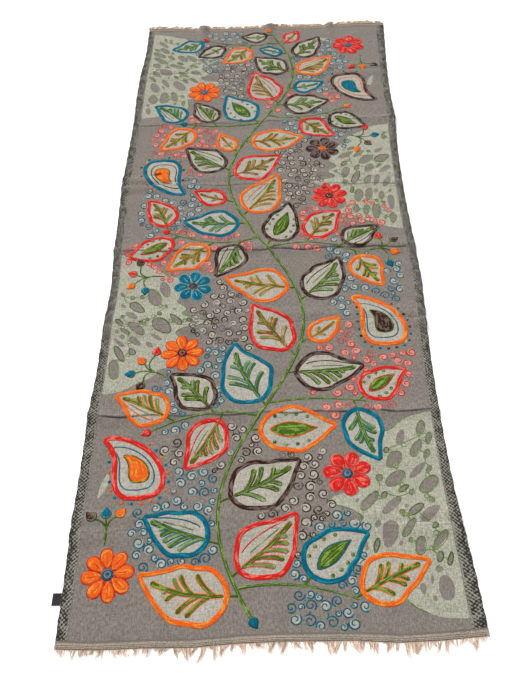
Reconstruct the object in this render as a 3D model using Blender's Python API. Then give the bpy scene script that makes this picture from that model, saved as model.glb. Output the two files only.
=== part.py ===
"""A pashmina shawl laid flat on a surface: a long woven panel between two woven borders, a plain heading
with frayed fringe at each short end, and a small blank label at one side. Metres, +Z up, surface at Z = 0,
X across the width, -Y towards the near short end, origin under the middle of the shawl."""

import math
import random

import bmesh
import bpy

# Driving sizes
WIDTH = 0.700
LENGTH = 1.800
WALL = 0.0014
SEAM_GAP = 0.0003
BORDER_WIDTH = 0.020
HEADING_LENGTH = 0.014

# Fringe: locks of yarn left where the weft was pulled out of each short end
LOCKS_PER_END = 76
LOCK_LENGTHS = {
    "near": {"middle": 0.022, "spread": 0.006},
    "far": {"middle": 0.016, "spread": 0.005},
}
LOCK_CURL = 0.0042
LOCK_LEAN = 0.0013
LOCK_FLOOR_GAP = 0.0004
LOCK_SECTIONS = [
    {"reach": 0.34, "width": 0.0034, "height": 0.0012},
    {"reach": 0.70, "width": 0.0025, "height": 0.0010},
    {"reach": 1.00, "width": 0.0009, "height": 0.0006},
]
FRINGE_SEED = 7

# Side label: a tape folded over and sewn under the left border
LABEL_REACH = 0.0150
LABEL_WIDTH = 0.0210
LABEL_CENTRE_Y = -0.824
LABEL_FOLD_RADIUS = 0.0006

# Half sizes worked out from the driving ones
HALF_WIDTH = WIDTH / 2
HALF_LENGTH = LENGTH / 2
PANEL_HALF_WIDTH = HALF_WIDTH - BORDER_WIDTH
CLOTH_HALF_LENGTH = HALF_LENGTH - HEADING_LENGTH - SEAM_GAP

# Folds across the width, where the shawl was folded in eight: a ridge stands up along its line, and a
# valley's line touches the floor between two low swells. Rises are given at the left, middle and right.
CROSS_FOLDS = [
    {"y": -0.693, "kind": "valley", "left": 0.0026, "middle": 0.0018, "right": 0.0030, "half_width": 0.034},
    {"y": -0.463, "kind": "ridge", "left": 0.0048, "middle": 0.0034, "right": 0.0050, "half_width": 0.030},
    {"y": -0.230, "kind": "valley", "left": 0.0034, "middle": 0.0020, "right": 0.0030, "half_width": 0.036},
    {"y": -0.016, "kind": "ridge", "left": 0.0062, "middle": 0.0044, "right": 0.0058, "half_width": 0.032},
    {"y": 0.213, "kind": "valley", "left": 0.0042, "middle": 0.0026, "right": 0.0026, "half_width": 0.034},
    {"y": 0.446, "kind": "ridge", "left": 0.0032, "middle": 0.0026, "right": 0.0040, "half_width": 0.030},
    {"y": 0.672, "kind": "valley", "left": 0.0026, "middle": 0.0022, "right": 0.0024, "half_width": 0.034},
]

# Folds along the length, where it was folded in four. Each runs low all the way and stands up as a flute
# where it meets the far end.
LONG_FOLDS = [
    {"x": -0.179, "rise": 0.0012, "flute": 0.0095, "half_width": 0.021, "flute_length": 0.150},
    {"x": 0.017, "rise": 0.0015, "flute": 0.0085, "half_width": 0.024, "flute_length": 0.190},
    {"x": 0.200, "rise": 0.0010, "flute": 0.0040, "half_width": 0.020, "flute_length": 0.120},
]

# Places where a long edge stands off the floor
EDGE_LIFTS = [
    {"side": -1, "y": -0.450, "height": 0.0030, "half_length": 0.070},
    {"side": -1, "y": -0.020, "height": 0.0030, "half_length": 0.090},
    {"side": -1, "y": 0.640, "height": 0.0036, "half_length": 0.110},
    {"side": 1, "y": -0.700, "height": 0.0040, "half_length": 0.080},
    {"side": 1, "y": -0.240, "height": 0.0034, "half_length": 0.080},
    {"side": 1, "y": 0.440, "height": 0.0042, "half_length": 0.100},
]
EDGE_LIFT_REACH = 0.080

# Outline: how far each long side stands out from its straight line, at places along the length
SIDE_OUTLINE = [
    {"y": -0.900, "left": -0.0010, "right": 0.0170},
    {"y": -0.780, "left": 0.0000, "right": 0.0110},
    {"y": -0.693, "left": 0.0025, "right": 0.0020},
    {"y": -0.580, "left": 0.0010, "right": -0.0030},
    {"y": -0.463, "left": 0.0020, "right": -0.0055},
    {"y": -0.350, "left": -0.0020, "right": -0.0050},
    {"y": -0.230, "left": -0.0015, "right": -0.0020},
    {"y": -0.130, "left": -0.0055, "right": 0.0035},
    {"y": -0.016, "left": -0.0005, "right": 0.0010},
    {"y": 0.110, "left": 0.0030, "right": -0.0030},
    {"y": 0.213, "left": 0.0060, "right": -0.0045},
    {"y": 0.330, "left": 0.0030, "right": -0.0020},
    {"y": 0.446, "left": 0.0000, "right": 0.0040},
    {"y": 0.560, "left": 0.0030, "right": 0.0025},
    {"y": 0.672, "left": 0.0000, "right": 0.0045},
    {"y": 0.790, "left": -0.0055, "right": 0.0110},
    {"y": 0.900, "left": -0.0045, "right": 0.0165},
]

# Outline: how far each short end stands out from its straight line, at places across the width
END_OUTLINE = [
    {"x": -0.350, "near": 0.0060, "far": 0.0080},
    {"x": -0.290, "near": 0.0085, "far": 0.0060},
    {"x": -0.199, "near": 0.0060, "far": -0.0020},
    {"x": -0.120, "near": 0.0060, "far": -0.0040},
    {"x": -0.040, "near": 0.0000, "far": -0.0050},
    {"x": 0.041, "near": -0.0020, "far": 0.0000},
    {"x": 0.150, "near": -0.0020, "far": -0.0060},
    {"x": 0.218, "near": 0.0020, "far": 0.0010},
    {"x": 0.292, "near": -0.0010, "far": 0.0040},
    {"x": 0.350, "near": -0.0070, "far": 0.0020},
]
SIDE_SHIFT_FROM = 0.30
END_SHIFT_FROM = 0.72
END_SHIFT_FULL = 0.88

# Mesh spacing
PLAIN_COLUMN = 0.042
PLAIN_ROW = 0.075
FOLD_ROWS = (-1.0, -0.42, 0.0, 0.42, 1.0)
FLUTE_COLUMNS = (-1.0, -0.5, 0.0, 0.5, 1.0)
FLUTE_ROWS = (0.872, 0.838, 0.740)
BORDER_COLUMNS = 2
CLOSEST_COLUMNS = 0.006

COLOURS = {
    "ground": (0.235, 0.205, 0.175),
    "border": (0.070, 0.072, 0.070),
    "heading": (0.420, 0.350, 0.275),
    "label": (0.012, 0.012, 0.014),
}


def clamp(value, low=0.0, high=1.0):
    return max(low, min(high, value))


def read_table(table, place, column, at):
    """A table's column at that place, straight between rows and flat past both ends."""
    if at <= table[0][place]:
        return table[0][column]
    for before, after in zip(table, table[1:]):
        if at <= after[place]:
            share = (at - before[place]) / (after[place] - before[place])
            return before[column] + share * (after[column] - before[column])
    return table[-1][column]


def cross_fold_rise(fold, u, v):
    """Height of the underside at a fold across the width."""
    t = abs(v - fold["y"]) / fold["half_width"]
    if t >= 1.0:
        return 0.0
    across = clamp(u / HALF_WIDTH, -1.0, 1.0)
    side = fold["left"] if across < 0 else fold["right"]
    rise = fold["middle"] + (side - fold["middle"]) * across * across
    if fold["kind"] == "ridge":
        return rise * (1.0 - t) ** 1.6
    return rise * math.sin(math.pi * t ** 0.8)


def long_fold_rise(fold, u, v):
    """Height of the underside at a fold along the length, with its flute at the far end."""
    t = abs(u - fold["x"]) / fold["half_width"]
    if t >= 1.0:
        return 0.0
    from_end = (HALF_LENGTH - v) / fold["flute_length"]
    flute = fold["flute"] * clamp(1.0 - from_end) ** 2
    return (fold["rise"] + flute) * (1.0 - t * t) ** 2


def edge_lift(place, u, v):
    """Height of the underside where a long edge stands off the floor."""
    along = abs(v - place["y"]) / place["half_length"]
    inwards = (HALF_WIDTH - place["side"] * u) / EDGE_LIFT_REACH
    if along >= 1.0 or inwards >= 1.0:
        return 0.0
    return place["height"] * (1.0 - along * along) ** 2 * clamp(1.0 - inwards) ** 2


def lift(u, v):
    """Height of the cloth's underside over the floor at the flat cloth's point (u, v)."""
    folds = sum(cross_fold_rise(fold, u, v) for fold in CROSS_FOLDS)
    folds += sum(long_fold_rise(fold, u, v) for fold in LONG_FOLDS)
    return folds + sum(edge_lift(place, u, v) for place in EDGE_LIFTS)


def plan(u, v):
    """Where the flat cloth's point (u, v) lies on the floor, with the outline's waves."""
    side, outwards = ("left", -1.0) if u < 0 else ("right", 1.0)
    toward_side = clamp((abs(u) - SIDE_SHIFT_FROM) / (HALF_WIDTH - SIDE_SHIFT_FROM))
    x = u + outwards * toward_side * read_table(SIDE_OUTLINE, "y", side, v)
    end, onwards = ("near", -1.0) if v < 0 else ("far", 1.0)
    toward_end = clamp((abs(v) - END_SHIFT_FROM) / (END_SHIFT_FULL - END_SHIFT_FROM)) ** 2
    y = v + onwards * toward_end * read_table(END_OUTLINE, "x", end, u)
    return x, y


def spread(low, high, spacing):
    """Evenly spaced places from low to high, about that far apart, both ends included."""
    count = max(1, round((high - low) / spacing))
    return [low + (high - low) * i / count for i in range(count + 1)]


def fill_between(fixed, spacing):
    """The fixed places with plain ones filled in wherever two are far apart."""
    fixed = sorted(set(round(place, 6) for place in fixed))
    places = [fixed[0]]
    for before, after in zip(fixed, fixed[1:]):
        places += spread(before, after, spacing)[1:]
    return places


def panel_columns():
    places = [-PANEL_HALF_WIDTH, PANEL_HALF_WIDTH]
    for fold in LONG_FOLDS:
        places += [fold["x"] + step * fold["half_width"] for step in FLUTE_COLUMNS]
    waves = [row["x"] for row in END_OUTLINE if abs(row["x"]) < PANEL_HALF_WIDTH]
    clear_waves = [x for x in waves if all(abs(x - place) > CLOSEST_COLUMNS for place in places)]
    return fill_between(places + clear_waves, PLAIN_COLUMN)


def cloth_rows():
    places = [-CLOTH_HALF_LENGTH, CLOTH_HALF_LENGTH, *FLUTE_ROWS]
    places += [row["y"] for row in SIDE_OUTLINE if abs(row["y"]) < CLOTH_HALF_LENGTH]
    for fold in CROSS_FOLDS:
        places += [fold["y"] + step * fold["half_width"] for step in FOLD_ROWS]
    return fill_between(places, PLAIN_ROW)


def border_columns(side):
    inner, outer = PANEL_HALF_WIDTH + SEAM_GAP, HALF_WIDTH
    columns = [inner + (outer - inner) * i / BORDER_COLUMNS for i in range(BORDER_COLUMNS + 1)]
    return sorted(side * column for column in columns)


def whole_width_columns():
    return border_columns(-1) + panel_columns() + border_columns(1)


def between_columns(columns, u, v):
    """The cloth's point (x, y, underside) at u, straight between the two nearest columns of the grid."""
    after = next(i for i, column in enumerate(columns[1:], start=1) if u <= column + SEAM_GAP / 2)
    low, high = columns[after - 1], columns[after]
    share = clamp((u - low) / (high - low))
    points = [(*plan(column, v), lift(column, v)) for column in (low, high)]
    return tuple(a + share * (b - a) for a, b in zip(*points))


def plain_material(name):
    material = bpy.data.materials.new(name)
    material.use_nodes = True
    shader = material.node_tree.nodes["Principled BSDF"]
    shader.inputs["Base Color"].default_value = (*COLOURS[name], 1.0)
    shader.inputs["Roughness"].default_value = 0.92
    shader.inputs["Metallic"].default_value = 0.0
    return material


def add_object(name, bm, material, collection):
    mesh = bpy.data.meshes.new(name)
    bmesh.ops.recalc_face_normals(bm, faces=bm.faces)
    bm.to_mesh(mesh)
    bm.free()
    mesh.materials.append(material)
    made = bpy.data.objects.new(name, mesh)
    collection.objects.link(made)
    return made


def woven_sheet(name, columns, rows, material, collection):
    """A flat grid of cloth, moved to where the cloth lies and pulled up by the wall's thickness."""
    bm = bmesh.new()
    bmesh.ops.create_grid(bm, x_segments=len(columns) - 1, y_segments=len(rows) - 1, size=0.5)
    for vert in bm.verts:
        column = round((vert.co.x + 0.5) * (len(columns) - 1))
        row = round((vert.co.y + 0.5) * (len(rows) - 1))
        u, v = columns[column], rows[row]
        vert.co = (*plan(u, v), lift(u, v))
    raised = bmesh.ops.extrude_face_region(bm, geom=bm.faces[:], use_keep_orig=True)
    top = [part for part in raised["geom"] if isinstance(part, bmesh.types.BMVert)]
    bmesh.ops.translate(bm, verts=top, vec=(0.0, 0.0, WALL))
    sheet = add_object(name, bm, material, collection)
    sheet.data.shade_smooth()
    sheet.data.set_sharp_from_angle(angle=math.radians(40.0))
    return sheet


def grow_lock(bm, root, end, length, lean):
    """One lock of fringe: its root face is drawn out, narrowed and bent, section by section."""
    start = root.calc_center_median()
    face = root
    for section in LOCK_SECTIONS:
        face = bmesh.ops.extrude_discrete_faces(bm, faces=[face])["faces"][0]
        reach = section["reach"]
        x = start.x + lean * reach ** 1.5
        y = start.y + end * length * reach
        bottom = LOCK_FLOOR_GAP + (start.z - WALL / 2) * (1.0 - reach) ** 2
        left_to_right = sorted(face.verts, key=lambda vert: vert.co.x)
        for side, pair in ((-0.5, left_to_right[:2]), (0.5, left_to_right[2:])):
            low, high = sorted(pair, key=lambda vert: vert.co.z)
            low.co = (x + side * section["width"], y, bottom)
            high.co = (x + side * section["width"], y, bottom + section["height"])


def heading_with_fringe(name, end, lengths, material, collection):
    """The plain woven heading across one short end, with its fringe drawn out of the outer wall."""
    rng = random.Random(FRINGE_SEED + end)
    columns = 2 * LOCKS_PER_END + 1
    bm = bmesh.new()
    bmesh.ops.create_cube(bm, size=1.0)
    long_edges = [edge for edge in bm.edges if abs(edge.verts[0].co.x - edge.verts[1].co.x) > 0.5]
    bmesh.ops.subdivide_edges(bm, edges=long_edges, cuts=columns - 1, use_grid_fill=True)
    outer = [face for face in bm.faces if face.normal.y * end > 0.9]
    outer.sort(key=lambda face: face.calc_center_median().x)
    whole_width = whole_width_columns()
    for vert in bm.verts:
        v = end * (HALF_LENGTH - HEADING_LENGTH * (0.5 - end * vert.co.y))
        x, y, underside = between_columns(whole_width, vert.co.x * WIDTH, v)
        vert.co = (x, y, underside + (WALL if vert.co.z > 0 else 0.0))
    for number, root in enumerate(outer[1::2]):
        along = number / LOCKS_PER_END
        curl = math.sin(9.2 * along + 1.1 * end) + 0.6 * math.sin(23.0 * along + 0.7)
        lean = LOCK_CURL * curl + rng.uniform(-LOCK_LEAN, LOCK_LEAN)
        length = lengths["middle"] + rng.uniform(-lengths["spread"], lengths["spread"])
        grow_lock(bm, root, end, length, lean)
    return add_object(name, bm, material, collection)


def side_label(material, collection):
    """A blank tape label, folded at its outer edge, standing out from under the left border."""
    shift = read_table(SIDE_OUTLINE, "y", "left", LABEL_CENTRE_Y)
    inner = -HALF_WIDTH - shift - 2 * SEAM_GAP
    bm = bmesh.new()
    bmesh.ops.create_cube(bm, size=1.0)
    bmesh.ops.scale(bm, verts=bm.verts, vec=(LABEL_REACH, LABEL_WIDTH, WALL))
    centre = (inner - LABEL_REACH / 2, LABEL_CENTRE_Y, WALL / 2)
    bmesh.ops.translate(bm, verts=bm.verts, vec=centre)
    outer = min(vert.co.x for vert in bm.verts)
    fold = [edge for edge in bm.edges if all(vert.co.x < outer + SEAM_GAP for vert in edge.verts)]
    fold = [edge for edge in fold if abs(edge.verts[0].co.y - edge.verts[1].co.y) > SEAM_GAP]
    bmesh.ops.bevel(bm, geom=fold, offset=LABEL_FOLD_RADIUS, segments=3, profile=0.5, affect="EDGES")
    return add_object("side_label", bm, material, collection)


def clear_scene():
    for old in list(bpy.data.objects):
        bpy.data.objects.remove(old)


def build_shawl():
    clear_scene()
    collection = bpy.data.collections.new("pashmina_shawl")
    bpy.context.scene.collection.children.link(collection)
    materials = {name: plain_material(name) for name in COLOURS}
    rows = cloth_rows()
    woven_sheet("woven_panel", panel_columns(), rows, materials["ground"], collection)
    woven_sheet("border_left", border_columns(-1), rows, materials["border"], collection)
    woven_sheet("border_right", border_columns(1), rows, materials["border"], collection)
    for name, end in (("near", -1), ("far", 1)):
        lengths = LOCK_LENGTHS[name]
        heading_with_fringe(f"heading_fringe_{name}", end, lengths, materials["heading"], collection)
    side_label(materials["label"], collection)


build_shawl()
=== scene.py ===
"""Looks of a pashmina shawl laid flat: woven wool with pale figured areas, chain-stitched leaves and flowers,
dark woven borders, a beige heading and frayed fringe at each end, and a blank tape label."""

import math
import random

import bpy
import numpy as np
from mathutils import Matrix, Vector
from mathutils.geometry import delaunay_2d_cdt


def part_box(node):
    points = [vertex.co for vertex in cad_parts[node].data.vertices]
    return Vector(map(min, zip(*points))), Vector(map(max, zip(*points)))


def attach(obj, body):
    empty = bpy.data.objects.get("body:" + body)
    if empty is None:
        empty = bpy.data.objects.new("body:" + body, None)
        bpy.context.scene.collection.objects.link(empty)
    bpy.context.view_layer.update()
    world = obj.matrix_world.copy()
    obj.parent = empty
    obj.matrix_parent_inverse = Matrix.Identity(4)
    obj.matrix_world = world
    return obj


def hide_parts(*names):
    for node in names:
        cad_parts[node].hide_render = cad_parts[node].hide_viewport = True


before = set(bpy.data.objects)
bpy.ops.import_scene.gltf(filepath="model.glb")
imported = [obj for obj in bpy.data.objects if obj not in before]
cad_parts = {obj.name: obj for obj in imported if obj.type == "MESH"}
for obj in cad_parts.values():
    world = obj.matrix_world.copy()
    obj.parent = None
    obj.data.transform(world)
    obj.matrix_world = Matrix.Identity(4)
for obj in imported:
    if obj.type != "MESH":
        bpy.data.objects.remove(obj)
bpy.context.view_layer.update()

# Sizes of the shawl in metres, the same as its solids have
WIDTH = 0.700
LENGTH = 1.800
WALL = 0.0014
SEAM_GAP = 0.0003
BORDER_WIDTH = 0.020
HEADING_LENGTH = 0.014
HALF_WIDTH = WIDTH / 2
HALF_LENGTH = LENGTH / 2
PANEL_HALF_WIDTH = HALF_WIDTH - BORDER_WIDTH
CLOTH_HALF_LENGTH = HALF_LENGTH - HEADING_LENGTH - SEAM_GAP


def table(columns, *rows):
    """Rows of values as dictionaries, with the columns named once."""
    return [dict(zip(columns.split(), row)) for row in rows]

# Folds across the width, where the shawl was folded in eight. Each has a pressed groove along it, which strays
# from the fold by "stray" at the left edge, in the middle and at the right edge, with painted shade along it as
# dark as "shade"
CROSS_FOLDS = table(
    "y kind left middle right half_width groove stray shade shade_width",
    (-0.693, "valley", 0.0026, 0.0018, 0.0030, 0.034, 0.00030, (-0.009, -0.010, -0.008), 0.30, 0.0024),
    (-0.463, "ridge", 0.0048, 0.0034, 0.0050, 0.030, 0.00100, (-0.001, -0.002, 0.000), 0.95, 0.0034),
    (-0.230, "valley", 0.0034, 0.0020, 0.0030, 0.036, 0.00040, (-0.009, -0.005, -0.002), 0.50, 0.0024),
    (-0.016, "ridge", 0.0062, 0.0044, 0.0058, 0.032, 0.00105, (0.000, -0.009, -0.006), 1.00, 0.0034),
    (0.213, "valley", 0.0042, 0.0026, 0.0026, 0.034, 0.00060, (0.000, -0.017, -0.022), 0.60, 0.0030),
    (0.446, "ridge", 0.0032, 0.0026, 0.0040, 0.030, 0.00060, (-0.004, -0.002, 0.000), 0.60, 0.0032),
    (0.672, "valley", 0.0026, 0.0022, 0.0024, 0.034, 0.00030, (0.000, 0.000, 0.000), 0.0, 0.0024),
)
GROOVE_WIDTH = 0.0015
GROOVE_LIP = 0.0050
KINK_DEPTH = 0.0020
KINKS_PER_METRE = 57.0
KINK_SHIFT = 50.0
FOLD_WANDER = ((0.0018, 9.0, 0.6), (0.0009, 31.0, 2.0))  # reach, pace and start of its two waves

# Folds along the length, which stand up as flutes at the far end
LONG_FOLDS = table(
    "x rise flute half_width flute_length",
    (-0.179, 0.0012, 0.0095, 0.021, 0.150),
    (0.017, 0.0015, 0.0085, 0.024, 0.190),
    (0.200, 0.0010, 0.0040, 0.020, 0.120),
)

# Places where a long edge stands off the floor
EDGE_LIFTS = table(
    "side y height half_length",
    (-1, -0.450, 0.0030, 0.070),
    (-1, -0.020, 0.0030, 0.090),
    (-1, 0.640, 0.0036, 0.110),
    (1, -0.700, 0.0040, 0.080),
    (1, -0.240, 0.0034, 0.080),
    (1, 0.440, 0.0042, 0.100),
)
EDGE_LIFT_REACH = 0.080

# Outline: how far each long side stands out from its straight line
SIDE_OUTLINE = table(
    "y left right",
    (-0.900, -0.0010, 0.0170),
    (-0.780, 0.0000, 0.0110),
    (-0.693, 0.0025, 0.0020),
    (-0.580, 0.0010, -0.0030),
    (-0.463, 0.0020, -0.0055),
    (-0.350, -0.0020, -0.0050),
    (-0.230, -0.0015, -0.0020),
    (-0.130, -0.0055, 0.0035),
    (-0.016, -0.0005, 0.0010),
    (0.110, 0.0030, -0.0030),
    (0.213, 0.0060, -0.0045),
    (0.330, 0.0030, -0.0020),
    (0.446, 0.0000, 0.0040),
    (0.560, 0.0030, 0.0025),
    (0.672, 0.0000, 0.0045),
    (0.790, -0.0055, 0.0110),
    (0.900, -0.0045, 0.0165),
)

# Outline: how far each short end stands out from its straight line
END_OUTLINE = table(
    "x near far",
    (-0.350, 0.0060, 0.0080),
    (-0.290, 0.0085, 0.0060),
    (-0.199, 0.0060, -0.0020),
    (-0.120, 0.0060, -0.0040),
    (-0.040, 0.0000, -0.0050),
    (0.041, -0.0020, 0.0000),
    (0.150, -0.0020, -0.0060),
    (0.218, 0.0020, 0.0010),
    (0.292, -0.0010, 0.0040),
    (0.350, -0.0070, 0.0020),
)
SIDE_SHIFT_FROM = 0.30
END_SHIFT_FROM = 0.72
END_SHIFT_FULL = 0.88

# Soft creases placed one by one: centre, direction in degrees from +X, length, width and depth, ridges positive
SOFT_CREASES = table(
    "u v turn length width depth",
    (-0.262, -0.405, 62, 0.120, 0.010, 0.0011),
    (-0.120, -0.060, 14, 0.200, 0.012, -0.0008),
    (0.245, -0.085, 150, 0.150, 0.011, 0.0012),
    (0.282, -0.330, 118, 0.110, 0.010, -0.0010),
    (0.120, -0.505, 168, 0.170, 0.013, 0.0009),
    (-0.060, -0.640, 8, 0.160, 0.010, -0.0007),
    (-0.290, -0.735, 84, 0.130, 0.011, 0.0010),
    (0.270, -0.780, 100, 0.140, 0.012, 0.0012),
    (0.060, -0.815, 76, 0.110, 0.010, -0.0008),
    (-0.230, 0.120, 28, 0.160, 0.012, 0.0010),
    (0.075, 0.160, 172, 0.190, 0.012, -0.0008),
    (0.290, 0.120, 64, 0.120, 0.010, 0.0010),
    (-0.270, 0.330, 104, 0.140, 0.011, -0.0010),
    (0.150, 0.395, 20, 0.150, 0.012, 0.0009),
    (-0.080, 0.520, 158, 0.180, 0.013, 0.0010),
    (0.265, 0.585, 96, 0.140, 0.011, 0.0012),
    (-0.285, 0.750, 72, 0.130, 0.010, -0.0010),
    (-0.060, 0.790, 98, 0.150, 0.012, 0.0012),
    (0.110, 0.770, 84, 0.160, 0.012, -0.0010),
)
RIPPLE_HEIGHT = 0.00011
RIPPLE_COUNT = 14
RIPPLE_LENGTHS = (0.022, 0.075)
RIPPLE_SEED = 11
DEEPEST_DIP = -0.0004

# Camera: where the photo was taken from
CAMERA_PLACE = (0.0367, -1.2198, 1.2758)
CAMERA_YAW = math.radians(2.512)
CAMERA_TILT = math.radians(54.413)
CAMERA_ROLL = math.radians(3.286)
CAMERA_LENS = 38.35


# The cloth's form

def read_table(rows, place, column, at):
    """A column's value at those places, in a straight line between the rows."""
    return np.interp(at, [row[place] for row in rows], [row[column] for row in rows])


def fold_wander(u):
    """How far a fold across the width strays from its straight line."""
    return sum(reach * np.sin(pace * u + start) for reach, pace, start in FOLD_WANDER)


def cross_fold_rise(fold, u, v):
    t = np.minimum(np.abs(v - fold["y"] - fold_wander(u)) / fold["half_width"], 1.0)
    across = np.clip(u / HALF_WIDTH, -1.0, 1.0)
    side = np.where(across < 0, fold["left"], fold["right"])
    rise = fold["middle"] + (side - fold["middle"]) * across ** 2
    if fold["kind"] == "ridge":
        return rise * (1.0 - t) ** 1.6
    return rise * np.sin(np.pi * t ** 0.8)


def groove_course(fold):
    """The groove's y as a polynomial of u: its part without u, with u and with u squared."""
    left, middle, right = fold["stray"]
    slope = 0.5 * (right - left) / HALF_WIDTH
    bow = (0.5 * (left + right) - middle) / HALF_WIDTH ** 2
    return fold["y"] + middle, slope, bow


def groove_line(fold, u):
    start, slope, bow = groove_course(fold)
    kinks = KINK_DEPTH * np.sin(KINKS_PER_METRE * u + KINK_SHIFT * fold["y"])
    return start + slope * u + bow * u * u + fold_wander(u) + kinks


def groove(fold, u, v):
    """A thin pressed line along a fold, uneven in depth, with a low lip to each side of it."""
    across = v - groove_line(fold, u)
    depth = fold["groove"] * (0.66 + 0.34 * np.sin(17.0 * u + 40.0 * fold["y"]))
    lip = 0.30 * depth * np.exp(-((np.abs(across) - GROOVE_LIP) / (1.4 * GROOVE_WIDTH)) ** 2)
    return lip - depth * np.exp(-(across / GROOVE_WIDTH) ** 2)


def long_fold_rise(fold, u, v):
    t = np.minimum(np.abs(u - fold["x"]) / fold["half_width"], 1.0)
    from_end = (HALF_LENGTH - v) / fold["flute_length"]
    flute = fold["flute"] * np.clip(1.0 - from_end, 0.0, 1.0) ** 2
    pinch = 0.35 * fold["rise"] * (1.0 - t) ** 3
    return (fold["rise"] + flute) * (1.0 - t * t) ** 2 + pinch


def edge_lift(place, u, v):
    along = np.minimum(np.abs(v - place["y"]) / place["half_length"], 1.0)
    inwards = np.clip((HALF_WIDTH - place["side"] * u) / EDGE_LIFT_REACH, 0.0, 1.0)
    return place["height"] * (1.0 - along * along) ** 2 * (1.0 - inwards) ** 2


def soft_crease(crease, u, v):
    """A ridge or a dip with soft sides, which fades out towards both ends."""
    turn = math.radians(crease["turn"])
    from_u, from_v = u - crease["u"], v - crease["v"]
    along = from_u * math.cos(turn) + from_v * math.sin(turn)
    across = from_v * math.cos(turn) - from_u * math.sin(turn)
    fade = np.clip(1.0 - (2.0 * along / crease["length"]) ** 2, 0.0, 1.0) ** 2
    return crease["depth"] * fade * np.exp(-(across / crease["width"]) ** 2)


def ripple_waves():
    """Small waves over the whole cloth, each with its waves per metre along u and v and its start."""
    rng = random.Random(RIPPLE_SEED)
    waves = []
    for _ in range(RIPPLE_COUNT):
        turn, size = rng.uniform(0.0, math.pi), rng.uniform(*RIPPLE_LENGTHS)
        waves.append((math.cos(turn) / size, math.sin(turn) / size, rng.uniform(0.0, math.tau)))
    return waves


RIPPLES = ripple_waves()


def underside(u, v):
    """Height of the cloth's underside over the floor at the flat cloth's point (u, v)."""
    rise = sum(cross_fold_rise(fold, u, v) for fold in CROSS_FOLDS)
    rise = rise + sum(long_fold_rise(fold, u, v) for fold in LONG_FOLDS)
    return rise + sum(edge_lift(place, u, v) for place in EDGE_LIFTS)


def upper_side(u, v):
    """Height of the cloth's upper side, with its soft creases and the small puckers that stitching leaves."""
    relief = sum(soft_crease(crease, u, v) for crease in SOFT_CREASES)
    relief = relief + sum(groove(fold, u, v) for fold in CROSS_FOLDS)
    relief = relief + sum(RIPPLE_HEIGHT * np.sin(math.tau * (a * u + b * v) + c) for a, b, c in RIPPLES)
    return np.maximum(underside(u, v) + relief, DEEPEST_DIP) + WALL


def plan(u, v):
    """Where the flat cloth's point (u, v) lies on the floor, with the outline's waves."""
    left, right = (read_table(SIDE_OUTLINE, "y", side, v) for side in ("left", "right"))
    near, far = (read_table(END_OUTLINE, "x", end, u) for end in ("near", "far"))
    toward_side = np.clip((np.abs(u) - SIDE_SHIFT_FROM) / (HALF_WIDTH - SIDE_SHIFT_FROM), 0.0, 1.0)
    toward_end = np.clip((np.abs(v) - END_SHIFT_FROM) / (END_SHIFT_FULL - END_SHIFT_FROM), 0.0, 1.0) ** 2
    return u + np.where(u < 0, -left, right) * toward_side, v + np.where(v < 0, -near, far) * toward_end


def on_cloth(u, v, above=0.0):
    """Points in space for flat points on the cloth's upper side, moved up by that much."""
    x, y = plan(u, v)
    return np.stack([x, y, upper_side(u, v) + above], axis=-1)


def under_cloth(u, v):
    x, y = plan(u, v)
    return np.stack([x, y, underside(u, v)], axis=-1)


# Flat shapes on the cloth, drawn before they are laid on it

def points_at(x, y):
    """Points from their two coordinates."""
    return np.stack([x, y], axis=-1)


def turned(points, degrees):
    turn = math.radians(degrees)
    return points @ np.array([[math.cos(turn), math.sin(turn)], [-math.sin(turn), math.cos(turn)]])


def placed(points, motif):
    """A motif's own points, turned and moved to where the motif lies."""
    return turned(np.asarray(points, dtype=float), motif["turn"]) + np.array([motif["u"], motif["v"]])


def curved(points, length, bend):
    """Points along +X bent sideways, more and more towards the tip."""
    t = np.clip(points[:, 0] / length, 0.0, 1.2)
    angle = math.radians(bend) * t ** 2
    x = points[:, 0] * np.cos(angle * 0.5) - points[:, 1] * np.sin(angle)
    y = points[:, 0] * np.sin(angle * 0.5) + points[:, 1] * np.cos(angle)
    return points_at(x, y)


def resampled(points, step, closed=False):
    """Points evenly spaced along a line, with each one's distance from the start."""
    points = np.asarray(points, dtype=float)
    if closed:
        points = np.vstack([points, points[:1]])
    runs = np.hypot(*np.diff(points, axis=0).T)
    reach = np.concatenate([[0.0], np.cumsum(runs)])
    count = max(3, int(round(reach[-1] / step)))
    places = np.linspace(0.0, reach[-1], count + 1)
    if closed:
        places = places[:-1]
    even = points_at(np.interp(places, reach, points[:, 0]), np.interp(places, reach, points[:, 1]))
    return even, places, reach[-1]


def smooth_line(points, count=14):
    """A smooth line through three points."""
    a, b, c = (np.asarray(point, dtype=float) for point in points)
    t = np.linspace(0.0, 1.0, count)[:, None]
    control = 2.0 * b - 0.5 * (a + c)
    return (1 - t) ** 2 * a + 2 * t * (1 - t) * control + t ** 2 * c


def circle(radius, points=24):
    angle = np.linspace(0.0, math.tau, points, endpoint=False)
    return radius * points_at(np.cos(angle), np.sin(angle))


def pebble(length, width, rng, points=22):
    """A rounded mesh, a little fuller to one side."""
    angle = np.linspace(0.0, math.tau, points, endpoint=False)
    lean, swell = rng.uniform(-0.30, 0.30), rng.uniform(0.0, math.tau)
    across = np.sin(angle) * (1.0 + lean * np.cos(angle)) * (1.0 + 0.10 * np.cos(2.0 * angle + swell))
    return points_at(0.5 * length * np.cos(angle), 0.5 * width * across)


def leaf_half_width(t, width, fullness):
    """Half width of a leaf at t along it, from 0 at its base to 1 at its tip."""
    return 0.5 * width * np.sin(np.pi * np.clip(t, 0.0, 1.0) ** fullness) ** 0.86 * (1.0 - 0.42 * t ** 4)


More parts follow.
